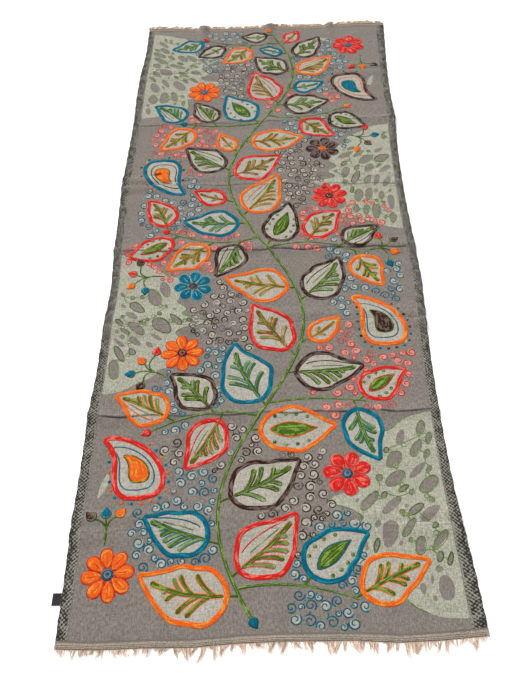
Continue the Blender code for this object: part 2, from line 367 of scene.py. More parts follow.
def leaf_edges(length, width, fullness, bend, points=36, waver=(0.0, 0.0)):
    """Both edges of a leaf from base to tip; waver makes each edge uneven in its own way."""
    t = np.linspace(0.0, 1.0, points)
    half = leaf_half_width(t, width, fullness)
    half[0] = half[-1] = 0.0
    edges = []
    for side, phase in zip((1.0, -1.0), waver):
        uneven = 1.0 + (0.07 * np.sin(8.5 * t + phase) + 0.03 * np.sin(19.0 * t + 2.0 * phase) if phase else 0.0)
        edges.append(curved(points_at(length * t, side * half * uneven), length, bend))
    return edges


def leaf_loop(length, width, fullness, bend, points=36, waver=(0.0, 0.0)):
    upper, lower = leaf_edges(length, width, fullness, bend, points, waver)
    return np.vstack([upper, lower[-2:0:-1]])


def both_edges(along, half, length, bend):
    """A closed loop with that half width at each place along it, bent to one side."""
    half[0] = half[-1] = 0.0
    upper, lower = (curved(points_at(along, side * half), length, bend) for side in (1.0, -1.0))
    return np.vstack([upper, lower[-2:0:-1]])


def drop_loop(length, width, bend, points=44):
    """Closed outline of a teardrop whose tip curls over."""
    t = np.linspace(0.0, 1.0, points)
    half = 0.5 * width * np.sqrt(np.clip(np.sin(np.pi * t ** 0.62), 0.0, 1.0)) * (1.0 - 0.55 * t ** 2)
    return both_edges(length * t, half, length, bend)


def petal_loop(size, petals):
    """One blunt petal of a flower of that size across, as far from the flower's middle as it grows."""
    t = np.linspace(0.0, 1.0, 16)
    half = 0.47 * math.tau * 0.34 * size / petals * np.sqrt(np.clip(np.sin(np.pi * t ** 1.5), 0.0, 1.0))
    return both_edges(0.095 * size + 0.405 * size * t, half, size, 0.0)


def inside(points, loop):
    """Whether each point lies inside a closed loop."""
    x, y = points[:, 0, None], points[:, 1, None]
    x1, y1 = loop[:, 0], loop[:, 1]
    x2, y2 = np.roll(x1, -1), np.roll(y1, -1)
    climb = np.where(y1 == y2, 1e-12, y2 - y1)
    crosses = ((y1 > y) != (y2 > y)) & (x < (x2 - x1) * (y - y1) / climb + x1)
    return crosses.sum(axis=1) % 2 == 1


class Room:
    """Outlines of the motifs laid so far, to find free places between them."""

    def __init__(self):
        self.loops = []
        self.boxes = np.empty((0, 4))

    def take(self, loop):
        self.loops.append(np.asarray(loop))
        box = np.concatenate([self.loops[-1].min(axis=0), self.loops[-1].max(axis=0)])
        self.boxes = np.vstack([self.boxes, box])

    def copy(self):
        same = Room()
        same.loops, same.boxes = list(self.loops), self.boxes
        return same

    def is_free(self, loop, clearance):
        low, high = loop.min(axis=0) - clearance, loop.max(axis=0) + clearance
        if max(-low[0], high[0]) > PANEL_HALF_WIDTH or max(-low[1], high[1]) > CLOTH_HALF_LENGTH:
            return False
        near = (self.boxes[:, :2] < high).all(axis=1) & (self.boxes[:, 2:] > low).all(axis=1)
        for number in np.flatnonzero(near):
            other = self.loops[number]
            gaps = np.hypot(*(loop[:, None, :] - other[None, :, :]).transpose(2, 0, 1))
            if gaps.min() < clearance or inside(loop, other).any() or inside(other, loop).any():
                return False
        return True

    def settle(self, motif, outline, clearance):
        """Moves a motif to the free place nearest to the one it asks for, or drops it if none is near."""
        for ring in range(15):
            for step in range(max(1, 6 * ring)):
                angle = math.tau * step / max(1, 6 * ring)
                moved = dict(motif, u=motif["u"] + 0.008 * ring * math.cos(angle),
                             v=motif["v"] + 0.008 * ring * math.sin(angle))
                loop = placed(outline, moved)
                if self.is_free(loop, clearance):
                    self.take(loop)
                    return moved
        return None


# Stitching: raised rows of thread, laid on the cloth stroke by stroke and kept by thread colour

STITCH_LENGTH = 0.0034
FINE_BELOW = 0.004
ROW_WIDTH = 0.0026
FINE_STEP = 0.0023
BROAD_STEP = 0.0026
SUNK = 0.00012
FINE_SECTION = np.array([-1.0, 0.0, 1.0])
BROAD_SECTION = np.array([-1.0, -0.80, -0.28, 0.28, 0.80, 1.0])
THREADS = {}


def keep(thread, points, faces, chart):
    """Adds made faces to a thread's; faces is a list of equal-sided blocks, chart holds each corner's place."""
    kept = THREADS.setdefault(thread, {"points": [], "faces": [], "chart": [], "count": 0})
    for block, block_chart in zip(faces, chart):
        kept["faces"].extend((np.asarray(block) + kept["count"]).tolist())
        kept["chart"].append(np.asarray(block_chart, dtype=float).reshape(-1, 2))
    kept["points"].append(points)
    kept["count"] += len(points)


def shoelace(loop):
    """Signed area of a closed loop, positive where it runs round to the left."""
    x, y = loop[:, 0], loop[:, 1]
    return 0.5 * float(np.sum(x * np.roll(y, -1) - np.roll(x, -1) * y))


def own_start(thread):
    """Where on the chart the next stroke starts, so that no two strokes look alike."""
    return 0.43 * THREADS[thread]["count"] if thread in THREADS else 0.0


def directions(line, closed):
    if closed:
        along = np.roll(line, -1, axis=0) - np.roll(line, 1, axis=0)
    else:
        along = np.gradient(line, axis=0)
    return along / np.maximum(np.hypot(along[:, 0], along[:, 1]), 1e-9)[:, None]


def leftward(along):
    """Directions turned by a quarter turn to the left."""
    return points_at(-along[:, 1], along[:, 0])


def on_chart(low, high, inner, outer):
    """Chart places of four-sided faces, from low to high along a row and from inner to outer across it."""
    return np.stack([low, inner, high, inner, high, outer, low, outer], axis=1)


def swell_along(reach, total, width, ends):
    """Share of the full width at each place along an open stroke, rounded off at both ends."""
    from_end = np.minimum(reach, total - reach) / (0.5 * width)
    rounding = np.sqrt(np.clip(1.0 - (1.0 - np.minimum(from_end, 1.0)) ** 2, 0.01, 1.0))
    return (ends[0] + (ends[1] - ends[0]) * reach / total) * rounding


def stroke(thread, line, width, height, layer=0.0, closed=False, ends=(1.0, 1.0)):
    """A row of stitches along a flat line: round on top, sunk into the cloth at its edges, closed below."""
    fine = width < FINE_BELOW
    line, reach, total = resampled(line, FINE_STEP if fine else BROAD_STEP, closed)
    sideways = leftward(directions(line, closed))
    swell = np.ones(len(line)) if closed else swell_along(reach, total, width, ends)
    section = FINE_SECTION if fine else BROAD_SECTION
    dome = np.sqrt(1.0 - np.abs(section) ** (2.0 if fine else 5.0))
    flat = line[:, None, :] + sideways[:, None, :] * (0.5 * width * swell[:, None] * section)[:, :, None]
    above = layer + height * dome[None, :] * np.sqrt(swell)[:, None] - SUNK
    points = on_cloth(flat[:, :, 0], flat[:, :, 1], above).reshape(-1, 3)
    rows, columns = len(line), len(section)
    last = rows if closed else rows - 1
    i, j = (grid.ravel() for grid in np.meshgrid(np.arange(last), np.arange(columns), indexing="ij"))
    k = (j + 1) % columns
    start, following = i * columns, ((i + 1) % rows) * columns
    blocks = [np.stack([start + j, following + j, following + k, start + k], axis=1)]
    low = own_start(thread) + i * total / last / STITCH_LENGTH
    high = low + total / last / STITCH_LENGTH
    across = 0.5 * width * section / ROW_WIDTH
    charts = [on_chart(low, high, across[j], across[k])]
    if not closed:
        blocks.append(np.array([np.arange(columns), (rows - 1) * columns + np.arange(columns)[::-1]]))
        charts.append(np.full((2, columns, 2), own_start(thread)))
    keep(thread, points, blocks, charts)


def filled(thread, loop, height, layer=0.0, step=0.003):
    """A shape filled with rows of stitches that follow its edge inwards to a short line along its middle."""
    if shoelace(loop) < 0.0:
        loop = np.roll(loop[::-1], 1, axis=0)
    total = resampled(loop, step, closed=True)[2]
    half = max(3, int(round(0.5 * total / step)))
    around = 2 * half
    loop = resampled(loop, total / around, closed=True)[0]
    facing = np.roll(loop[::-1], 1, axis=0)
    spine = 0.5 * (loop + facing)[: half + 1]
    slimness = 1.0 - np.hypot(*(loop - facing).T).max() / max(math.dist(spine[0], spine[-1]), 1e-6)
    spread = 0.40 * min(max(slimness, 0.0), 1.0)
    first, last = int(round(half * (0.5 - spread))), int(round(half * (0.5 + spread)))
    i = np.arange(around)
    goal = spine[np.clip(np.minimum(i, around - i), first, last)]
    rings = max(3, int(round(np.hypot(*(loop - goal).T).mean() / ROW_WIDTH)) + 1)
    inwards = 0.94 * np.arange(rings) / (rings - 1)
    dome = np.where(inwards > 0, np.sqrt(1.0 - (1.0 - inwards) ** 5.0), 0.0)
    flat = goal + (loop - goal)[None, :, :] * (1.0 - inwards)[:, None, None]
    points = on_cloth(flat[:, :, 0], flat[:, :, 1], (layer + height * dome - SUNK)[:, None]).reshape(-1, 3)

    def stitches(step_number):
        """From where to where a stitch goes on the chart."""
        low = own_start(thread) + step_number * total / around / STITCH_LENGTH
        return low, low + total / around / STITCH_LENGTH

    ring, i = (grid.ravel() for grid in np.meshgrid(np.arange(rings - 1), np.arange(around), indexing="ij"))
    k = (i + 1) % around
    here, further = ring * around, (ring + 1) * around
    sides = np.stack([here + i, here + k, further + k, further + i], axis=1)
    sides_chart = on_chart(*stitches(i), ring, ring + 1)
    top = (rings - 1) * around
    j = np.arange(1, half - 1)
    bridge = np.stack([top + j, top + j + 1, top + around - j - 1, top + around - j], axis=1)
    level = np.full(len(j), rings - 1.0)
    bridge_chart = on_chart(*stitches(j), level, level + 0.6)
    tips = top + np.array([[0, 1, around - 1], [half - 1, half, half + 1]])
    tips_chart = np.full((2, 3, 2), own_start(thread) + 0.5)
    base = np.arange(around)[None, ::-1]
    base_chart = np.full((1, around, 2), own_start(thread))
    keep(thread, points, [sides, bridge, tips, base], [sides_chart, bridge_chart, tips_chart, base_chart])


# Woven areas of another colour, as closed flat loops: one of a higher rank lies over one of a lower

WOVEN_AREAS = []


def woven_area(finish, loop, rank, step=0.0042):
    WOVEN_AREAS.append({"finish": finish, "rank": rank, "loop": resampled(loop, step, closed=True)[0]})


# Motifs

OUTLINE_WIDTH = 0.0112
OUTLINE_HEIGHT = 0.0008
VEIN_WIDTH = 0.0088
EDGING = 0.0032
INSET = 0.0045
ECHO = (0.0030, 0.0008)
BEAD = (0.0009,)


def on_leaf(points, motif):
    """A leaf's own points, bent as the leaf is and moved to where it lies."""
    return placed(curved(points, motif["length"], motif["bend"]), motif)


def vein(motif, line, width, thread):
    """One vein: a broad green row, a paler one on it, and a thin edge of the leaf's own colour."""
    line = on_leaf(smooth_line(line), motif)
    stroke(motif["edge"], line, width + EDGING, 0.0005, ends=(0.72, 1.0))
    stroke(thread, line, width, 0.0005, 0.0003, ends=(0.55, 1.0))
    if thread == "green":
        beside = line + 0.20 * width * motif["hand"] * leftward(directions(line, False))
        stroke("moss", beside[2:-2], 0.44 * width, 0.0003, 0.0006, ends=(0.6, 1.0))


def midrib(motif, start, end, width):
    vein(motif, [[t * motif["length"], 0.0] for t in (start, 0.45, end)], width, "green")


def half_width_of(motif, t):
    return leaf_half_width(t, motif["width"], motif["fullness"])


def side_vein(motif, t, hand, share):
    """A side vein's line, from the midrib at t out to that share of the room beside it."""
    room = half_width_of(motif, min(t + 0.20, 0.95)) - 0.5 * OUTLINE_WIDTH
    rise = share * max(float(room), 0.006)
    start = np.array([t * motif["length"], 0.0])
    end = start + np.array([1.05 * rise, hand * rise])
    return [start, 0.5 * (start + end) + np.array([0.10 * rise, -0.07 * hand * rise]), end]


def ribbed_inside(motif, rng):
    """A midrib with pairs of side veins."""
    for number, t in enumerate((0.13, 0.30, 0.47, 0.63)):
        hand = 1 if number % 2 else -1
        for place, side in ((t, hand), (t + 0.055, -hand)):
            thread = "moss" if rng.random() < 0.35 else "green"
            vein(motif, side_vein(motif, place, side, 0.78), VEIN_WIDTH * (1.0 - 0.25 * t), thread)
    midrib(motif, 0.05, 0.84, VEIN_WIDTH)


def barred_inside(motif, rng):
    """A midrib with broad slanting bars along one half, and two fine lines that follow the other half's edge."""
    length, hand = motif["length"], motif["hand"]
    for number, t in enumerate((0.10, 0.23, 0.36, 0.49, 0.61, 0.72)):
        vein(motif, side_vein(motif, t, hand, 0.84), 0.95 * VEIN_WIDTH, "green" if number % 2 else "moss")
    midrib(motif, 0.05, 0.86, VEIN_WIDTH)
    for thread, share, low, high, count in ((motif["edge"], 0.56, 0.16, 0.86, 20), ("moss", 0.28, 0.24, 0.70, 14)):
        t = np.linspace(low, high, count)
        stroke(thread, on_leaf(points_at(length * t, -hand * share * half_width_of(motif, t)), motif), *ECHO)


def seeded_inside(motif, rng):
    """A long filled blade with a row of seeds to each side."""
    length = motif["length"]
    blade = leaf_loop(0.60 * length, 0.22 * length, 0.85, 0.0) + np.array([0.14 * length, 0.0])
    blade = on_leaf(blade, motif)
    stroke(motif["edge"], blade, 0.0034, 0.0009, closed=True)
    filled("green", blade, 0.0012, 0.0002)
    ridge = np.array([[0.20, 0.0], [0.45, 0.0], [0.66, 0.0]]) * length
    stroke("moss", on_leaf(ridge, motif), 0.0030, 0.0007, 0.0010)
    for hand in (-1, 1):
        for number, t in enumerate((0.20, 0.34, 0.48, 0.62)):
            rise = 0.66 * half_width_of(motif, t)
            spot = curved(np.array([[t * length, hand * rise]]), length, motif["bend"])
            filled("moss" if number % 2 else "green", placed(circle(0.0042, 12) + spot, motif), *BEAD, step=0.0022)


def plain_inside(motif, rng):
    """A small leaf's midrib with one pair of side veins."""
    for side in (-1, 1):
        vein(motif, side_vein(motif, 0.22, side, 0.62), 0.66 * VEIN_WIDTH, "moss")
    midrib(motif, 0.08, 0.80, 0.74 * VEIN_WIDTH)


LEAF_INSIDES = {"plain": plain_inside, "ribbed": ribbed_inside, "barred": barred_inside, "seeded": seeded_inside}


def leaf(motif, rng):
    """A leaf: pale woven inside, a broad stitched edge, and green stitching within."""
    length, width = motif["length"], motif["width"]
    manner = {"fullness": motif["fullness"], "bend": motif["bend"], "waver": motif["waver"]}
    woven_area("ecru", placed(leaf_loop(length, width, **manner), motif), rank=3)
    edges = leaf_edges(length - INSET, width - INSET, **manner)
    for side, other in (edges, edges[::-1]):
        line = placed(np.vstack([other[1:2], side]) + np.array([0.5 * INSET, 0.0]), motif)
        stroke(motif["edge"], line, OUTLINE_WIDTH, OUTLINE_HEIGHT, 0.0002, ends=(0.90, 0.75))
    LEAF_INSIDES[motif["kind"]](motif, rng)


def drop(motif):
    """A curled teardrop: pale inside, a broad edge, an inner drop filled with colour, and beads around."""
    length, width, bend = motif["length"], motif["width"], motif["bend"]
    loop = drop_loop(length, width, bend)
    woven_area("ecru", placed(loop, motif), rank=3)
    stroke(motif["edge"], placed(loop, motif), 0.9 * OUTLINE_WIDTH, OUTLINE_HEIGHT, 0.0002, closed=True)
    fine = loop * 0.72 + np.array([0.115 * length, 0.04 * width])
    stroke(motif["inner"], placed(fine, motif), 0.0032, 0.0007, closed=True)
    small = drop_loop(0.46 * length, 0.42 * width, bend) + [0.22 * length, 0.0]
    filled(motif["seed"], placed(small, motif), 0.0012)
    stroke("green", placed(small, motif), 0.0030, 0.0009, 0.0002, closed=True)
    around = resampled(loop, 0.0155, closed=True)[0]
    middle = loop.mean(axis=0)
    for number, at in enumerate(around):
        if 0.38 < number / len(around) < 0.62:
            continue
        away = (at - middle) / np.hypot(*(at - middle))
        bead = circle(0.0036, 10) + at + 0.0115 * away
        filled(motif["inner"] if number % 2 else motif["seed"], placed(bead, motif), *BEAD, step=0.0023)


PETAL_EDGES = {"orange": "red", "red": "coral", "brown": "lavender", "teal": "pale_thread"}


def flower(motif):
    """A round flower: blunt petals filled with rows of stitches, edged and streaked, around a button centre."""
    size, petals, edge = motif["size"], motif["petals"], PETAL_EDGES[motif["petal"]]
    petal = petal_loop(size, petals)
    streak = [[0.18 * size, 0.0], [0.26 * size, 0.0], [0.36 * size, 0.0]]
    for number in range(petals):
        seat = dict(motif, turn=motif["turn"] + 360.0 * number / petals)
        filled(motif["petal"], placed(petal, seat), 0.0011)
        stroke(edge, placed(petal, seat), 0.0022, 0.0008, 0.0001, closed=True)
        stroke(edge, placed(smooth_line(streak), seat), 0.0022, 0.0006, 0.0009)
    filled(motif["centre"], placed(circle(0.115 * size), motif), 0.0018, 0.0002)
    stroke(motif["petal"], placed(circle(0.055 * size, 16), motif), 0.0020, 0.0006, 0.0017, closed=True)


def sprig(motif):
    """Curved stems that fan out from one foot, each with a filled bud."""
    size = motif["size"]
    for number, bud in enumerate(motif["buds"]):
        angle = motif["fan"] * (number / (len(motif["buds"]) - 1) - 0.5)
        reach = size * (0.80 if number % 2 else 1.0)
        tip = turned(np.array([[reach, 0.0]]), angle)[0]
        knee = turned(np.array([[0.55 * reach, 0.0]]), 0.45 * angle)[0]
        stroke("green", placed(smooth_line([[0.0, 0.0], knee, tip]), motif), 0.0036, 0.0008)
        seat = {"u": tip[0], "v": tip[1], "turn": 1.2 * angle}
        shape = placed(leaf_loop(0.0250, 0.0200, 0.72, 0.0) - np.array([0.0020, 0.0]), seat)
        filled(bud, placed(shape, motif), 0.0013, 0.0003, step=0.0024)
        for hand in (-1, 1):
            sepal = placed(np.array([[-0.001, 0.0], [0.003, hand * 0.0055], [0.010, hand * 0.0085]]), seat)
            stroke("moss", placed(smooth_line(sepal, 6), motif), 0.0024, 0.0006, 0.0009)
    foot = [[-0.75 * size, 0.14 * size], [-0.34 * size, 0.03 * size], [0.0, 0.0]]
    stroke("green", placed(smooth_line(foot), motif), 0.0044, 0.0009, ends=(0.6, 1.0))


def curl(thread, centre, start, radius, hand):
    """A small spiral of thread, wound inwards from its start direction."""
    t = np.linspace(0.0, 1.0, 24)
    angle = start + hand * 1.45 * math.tau * t
    reach = radius * (1.0 - 0.84 * t ** 1.25)
    line = centre + points_at(reach * np.cos(angle), reach * np.sin(angle))
    stroke(thread, line, 0.0033, 0.0009, ends=(1.0, 0.8))


# By the thread of a cluster's curls: the thread that a few have instead, and the woven disc behind them
CURL_PARTNERS = {"teal": ("teal", "ecru"), "brown": ("lavender", "ecru"), "coral": ("red", "salmon")}
OWN_THREAD_SHARE = 0.88
DISC_SHARE = 0.80


def curl_cluster(motif, room, rng):
    """Curls that crowd a patch of ground, each linked by a thread to the nearest one before it."""
    laid = []
    second, disc = CURL_PARTNERS[motif["thread"]]
    tries = 60 * motif["count"]
    for attempt in range(tries):
        if len(laid) == motif["count"]:
            break
        around, out = rng.uniform(0.0, math.tau), math.sqrt(rng.random())
        spot = [[0.5 * motif["length"] * out * math.cos(around), 0.5 * motif["width"] * out * math.sin(around)]]
        centre = placed(spot, motif)[0]
        radius = rng.uniform(0.0098, 0.0112) - 0.0044 * attempt / tries
        ring = circle(radius, 12) + centre
        if not room.is_free(ring, 0.0004):
            continue
        room.take(ring)
        start, hand = rng.uniform(0.0, math.tau), rng.choice((-1, 1))
        near = [other for other in laid if math.dist(other[0], centre) < 0.030]
        if near:
            other = min(near, key=lambda kept: math.dist(kept[0], centre))
            toward = (other[0] - centre) / math.dist(other[0], centre)
            start = math.atan2(toward[1], toward[0]) - hand * 0.9
            first = centre + radius * np.array([math.cos(start), math.sin(start)])
            last = other[0] - other[1] * toward
            bow = 0.5 * (first + last) + 0.0022 * hand * np.array([-toward[1], toward[0]])
            stroke(motif["thread"], smooth_line([first, bow, last], 8), 0.0022, 0.0007)
        if rng.random() < DISC_SHARE:
            woven_area(disc, circle(0.80 * radius, 12) + centre, rank=2)
        curl(motif["thread"] if rng.random() < OWN_THREAD_SHARE else second, centre, start, radius, hand)
        laid.append((centre, radius))


def blade(motif):
    """A thin pale woven blade with no stitching."""
    woven_area("pale", placed(leaf_loop(motif["length"], motif["width"], 1.0, motif["bend"]), motif), rank=2)


# Pale figured areas: a net of rounded meshes that hugs a border

MESH_SIZES = (0.046, 0.038, 0.031, 0.025, 0.019, 0.014, 0.010)
TRIES_PER_SIZE = 220


def field_loop(field, share=1.0):
    """Closed outline of a field, drawn in towards its border by that share."""
    side, middle, reach, half = field["side"], field["v"], field["reach"], field["half_length"]
    s = np.linspace(-1.0, 1.0, 150)
    tongues = np.clip(np.sin(11.0 * s + field["phase"]), 0.0, 1.0) ** 3
    ripple = 0.05 * np.sin(27.0 * s + 2.0 * field["phase"])
    inward = reach * share * (1.0 - np.abs(s) ** 2.4) ** 0.6 * (0.80 + 0.26 * tongues + ripple)
    inner_edge = points_at(side * (PANEL_HALF_WIDTH - inward), middle + half * share * s)
    ends = [[side * PANEL_HALF_WIDTH, middle + half * share], [side * PANEL_HALF_WIDTH, middle - half * share]]
    return inner_edge[1:-1], np.vstack([inner_edge[1:-1], ends])


def thread_between_motifs(thread, line, width, motifs):
    """A fine row of stitches along a line, left out where the line would cross a motif."""
    free = [motifs.is_free(at[None, :], 0.0030) for at in line]
    start = 0
    while start < len(line):
        end = start
        while end < len(line) and free[end]:
            end += 1
        if end - start > 3:
            stroke(thread, line[start:end], width, 0.0007)
        start = end + 1


def net_field(field, room, motifs, rng):
    """A pale woven net with meshes of bare ground, many of them ringed and linked by a wandering green thread."""
    inner_edge, loop = field_loop(field)
    woven_area("pale", loop, rank=0)
    for begin, finish in ((4, 52), (58, 101), (108, 144)):
        thread_between_motifs("moss", inner_edge[begin:finish], 0.0026, motifs)
    bounds = field_loop(field, 0.93)[1]
    ringed = []
    for size in MESH_SIZES:
        for _ in range(TRIES_PER_SIZE):
            at = np.array([
                field["side"] * (PANEL_HALF_WIDTH - field["reach"] * rng.random()),
                field["v"] + field["half_length"] * rng.uniform(-1.0, 1.0),
            ])
            length = size * rng.uniform(0.85, 1.15)
            width = length * rng.uniform(0.28, 0.56) if size > 0.015 else length * rng.uniform(0.6, 0.9)
            sway = 26.0 * math.sin(17.0 * at[1] + 9.0 * at[0] + field["phase"])
            seat = {"u": at[0], "v": at[1], "turn": field["lean"] + sway + rng.uniform(-8.0, 8.0)}
            mesh = placed(pebble(length, width, rng), seat)
            if not inside(mesh, bounds).all() or not room.is_free(mesh, 0.0046):
                continue
            room.take(mesh)
            woven_area("ground", mesh, rank=1, step=0.0036)
            if rng.random() < 0.62:
                stroke("moss" if rng.random() < 0.7 else "green", mesh, 0.0026, 0.0008, closed=True)
                ringed.append(mesh)
    wandering_thread(ringed, motifs, rng)


def wandering_thread(meshes, motifs, rng):
    """Green thread from each ringed mesh to the nearest one not yet reached, bowed, with a small loop on some."""
    left = list(meshes)
    here = left.pop(0)
    while left:
        middle = here.mean(axis=0)
        following = min(left, key=lambda mesh: math.dist(mesh.mean(axis=0), middle))
        left = [mesh for mesh in left if mesh is not following]
        goal = following.mean(axis=0)
        start = here[np.argmin(np.hypot(*(here - goal).T))]
        end = following[np.argmin(np.hypot(*(following - middle).T))]
        gap = math.dist(start, end)
        if 0.006 < gap < 0.085:
            sideways = np.array([start[1] - end[1], end[0] - start[0]]) / gap
            bow = 0.5 * (start + end) + sideways * rng.uniform(-0.30, 0.30) * gap
            line = smooth_line([start, bow, end], 16)
            if rng.random() < 0.4:
                centre = line[8] + sideways * 0.0042
                turn = math.atan2(*(line[8] - centre)[::-1]) + np.linspace(0.0, math.tau, 12)
                ring = centre + 0.0042 * points_at(np.cos(turn), np.sin(turn))
                line = np.vstack([line[:8], ring, line[9:]])
            thread_between_motifs("moss", line, 0.0024, motifs)
        here = following


# Layout: a vine that winds along the shawl between four pale fields

VINE_SWAY = 0.086
VINE_PERIOD = 0.900
BRANCHES = [
    [[-0.049, -0.810], [0.055, -0.806], [0.160, -0.832]],
    [[-0.012, -0.470], [-0.110, -0.462], [-0.225, -0.500]],
    [[0.006, -0.440], [0.100, -0.430], [0.205, -0.440]],
    [[0.012, -0.020], [0.110, -0.004], [0.225, -0.040]],
    [[-0.012, 0.020], [-0.110, 0.004], [-0.225, 0.040]],
    [[-0.006, 0.440], [-0.100, 0.430], [-0.205, 0.440]],
    [[0.012, 0.470], [0.110, 0.462], [0.225, 0.500]],
    [[0.049, 0.810], [-0.055, 0.806], [-0.160, 0.832]],
]
LEAF_COLOURS = ("orange", "red", "brown", "orange", "teal", "brown", "red", "brown", "orange", "brown", "teal")
LEAF_KINDS = ("ribbed", "barred", "ribbed", "seeded", "ribbed", "barred")
VINE_LEAVES = ((0.134, 0.152), (0.108, 0.130), (0.082, 0.102))
BRANCH_LEAVES = ((0.104, 0.124), (0.078, 0.098))
LEAF_LEANS = (60.0, 74.0, 46.0)
SMALLER_FURTHER_UP = 0.15

FIELDS = table(
    "side v reach half_length phase lean",
    (1, -0.668, 0.205, 0.200, 0.4, 62),
    (-1, -0.222, 0.190, 0.190, 1.9, 118),
    (1, 0.228, 0.196, 0.192, 3.1, 60),
    (-1, 0.672, 0.208, 0.198, 4.4, 122),
)

DROPS = table(
    "u v turn length width bend edge inner seed",
    (-0.248, -0.640, 96, 0.146, 0.096, 52, "red", "teal", "orange"),
    (0.258, -0.300, 90, 0.142, 0.094, 52, "orange", "teal", "brown"),
    (-0.258, 0.300, 270, 0.142, 0.094, 52, "teal", "brown", "orange"),
    (0.248, 0.640, 276, 0.140, 0.092, 52, "brown", "orange", "teal"),
)

FLOWERS = table(
    "u v turn size petals petal centre",
    (-0.252, -0.790, 8, 0.094, 8, "orange", "teal"),
    (0.186, -0.560, 20, 0.092, 7, "red", "teal"),
    (0.270, -0.135, 10, 0.082, 8, "brown", "red"),
    (-0.172, -0.345, 5, 0.090, 8, "orange", "brown"),
    (-0.150, -0.098, 32, 0.088, 7, "teal", "brown"),
    (0.150, 0.098, 12, 0.088, 8, "red", "brown"),
    (0.172, 0.345, 25, 0.090, 7, "brown", "orange"),
    (-0.270, 0.135, 0, 0.082, 8, "teal", "red"),
    (-0.186, 0.560, 18, 0.092, 8, "orange", "teal"),
    (0.252, 0.790, 30, 0.094, 7, "red", "teal"),
)

SPRIGS = table(
    "u v turn size fan buds",
    (-0.282, -0.682, 96, 0.034, 74, ("orange", "teal", "brown")),
    (-0.232, -0.440, 160, 0.044, 130, ("red", "orange", "teal", "brown")),
    (0.278, -0.312, 60, 0.034, 110, ("orange", "red", "teal")),
    (0.236, 0.012, 10, 0.042, 130, ("teal", "orange", "brown", "red")),
    (-0.236, -0.012, 190, 0.042, 130, ("brown", "red", "orange", "teal")),
    (-0.278, 0.312, 240, 0.034, 110, ("teal", "orange", "red")),
    (0.232, 0.440, -20, 0.044, 130, ("orange", "brown", "teal", "red")),
    (0.282, 0.682, 276, 0.034, 88, ("red", "orange", "brown")),
)

CURL_CLUSTERS = table(
    "u v turn length width count thread",
    (0.120, -0.790, 70, 0.240, 0.140, 40, "teal"),
    (0.060, -0.640, 80, 0.240, 0.130, 40, "brown"),
    (0.200, -0.360, 60, 0.260, 0.200, 60, "coral"),
    (-0.160, -0.400, 40, 0.260, 0.160, 46, "teal"),
    (-0.090, -0.240, 90, 0.260, 0.140, 46, "brown"),
    (0.220, -0.100, 90, 0.260, 0.180, 50, "teal"),
    (-0.180, -0.030, 10, 0.300, 0.160, 60, "coral"),
    (0.170, 0.060, 20, 0.280, 0.150, 60, "coral"),
    (-0.220, 0.120, 90, 0.240, 0.160, 44, "teal"),
    (0.080, 0.240, 80, 0.260, 0.140, 46, "brown"),
    (0.160, 0.400, 140, 0.240, 0.160, 44, "teal"),
    (-0.200, 0.360, 100, 0.260, 0.180, 56, "coral"),
    (-0.060, 0.640, 80, 0.240, 0.130, 40, "brown"),
    (-0.120, 0.790, 80, 0.240, 0.140, 40, "teal"),
    (-0.160, -0.700, 80, 0.260, 0.160, 40, "teal"),
    (0.160, 0.700, 80, 0.260, 0.160, 40, "teal"),
    (-0.130, -0.560, 20, 0.260, 0.120, 36, "brown"),
    (0.130, 0.560, 20, 0.260, 0.120, 36, "coral"),
)

BLADES = table(
    "u v turn length width bend",
    (-0.310, -0.640, 70, 0.060, 0.013, 14),
    (-0.160, -0.838, 150, 0.058, 0.012, -12),
    (0.300, -0.300, 100, 0.050, 0.011, 10),
    (-0.130, -0.425, 40, 0.050, 0.011, -10),
    (-0.300, 0.300, 280, 0.050, 0.011, 10),
    (0.130, 0.425, 220, 0.050, 0.011, -10),
    (0.160, 0.838, 330, 0.058, 0.012, -12),
    (0.310, 0.640, 250, 0.060, 0.013, 14),
)


def vine_line():
    v = np.linspace(-0.862, 0.862, 500)
    return points_at(-VINE_SWAY * np.sin(math.tau * v / VINE_PERIOD), v)


def take_stem(line, room):
    """Keeps the room under a stem."""
    sideways = 0.0034 * leftward(directions(line, False))
    for part, aside in zip(np.array_split(line, len(line) // 14), np.array_split(sideways, len(line) // 14)):
        room.take(np.vstack([part + aside, (part - aside)[::-1]]))


def grown_leaf(at, turn, side, length, room, rng):
    """A leaf on a short stalk, or nothing where it would lie over another motif."""
    stalk = turned(np.array([[rng.uniform(0.013, 0.022), 0.0]]), turn)[0]
    motif = {
        "u": at[0] + stalk[0], "v": at[1] + stalk[1], "turn": turn, "length": length,
        "width": rng.uniform(0.62, 0.71) * length, "fullness": rng.uniform(0.64, 0.74),
        "bend": -side * rng.uniform(8.0, 26.0), "hand": side, "foot": at,
        "waver": (rng.uniform(0.2, 6.2), rng.uniform(0.2, 6.2)),
    }
    shape = (length, motif["width"], motif["fullness"], motif["bend"], 20, motif["waver"])
    loop = placed(leaf_loop(*shape), motif)
    if not room.is_free(loop, 0.0066):
        return None
    room.take(loop)
    motif["middle"] = loop.mean(axis=0)
    return motif


def grow_leaves(stem, sizes, room, rng):
    """Leaves to both sides of a stem wherever one finds room, the long ones first."""
    even = resampled(stem, 0.009)[0]
    heading = np.degrees(np.arctan2(*np.gradient(even, axis=0).T[::-1]))
    grown = []
    for low, high in sizes:
        for at, direction in zip(even, heading):
            for side in (1, -1):
                for lean in LEAF_LEANS:
                    length = rng.uniform(low, high) * (1.0 - SMALLER_FURTHER_UP * at[1])
                    turn = direction + side * (lean + rng.uniform(-5.0, 5.0))
                    made = grown_leaf(at, turn, side, length, room, rng)
                    if made:
                        grown.append(made)
                        break
    return grown


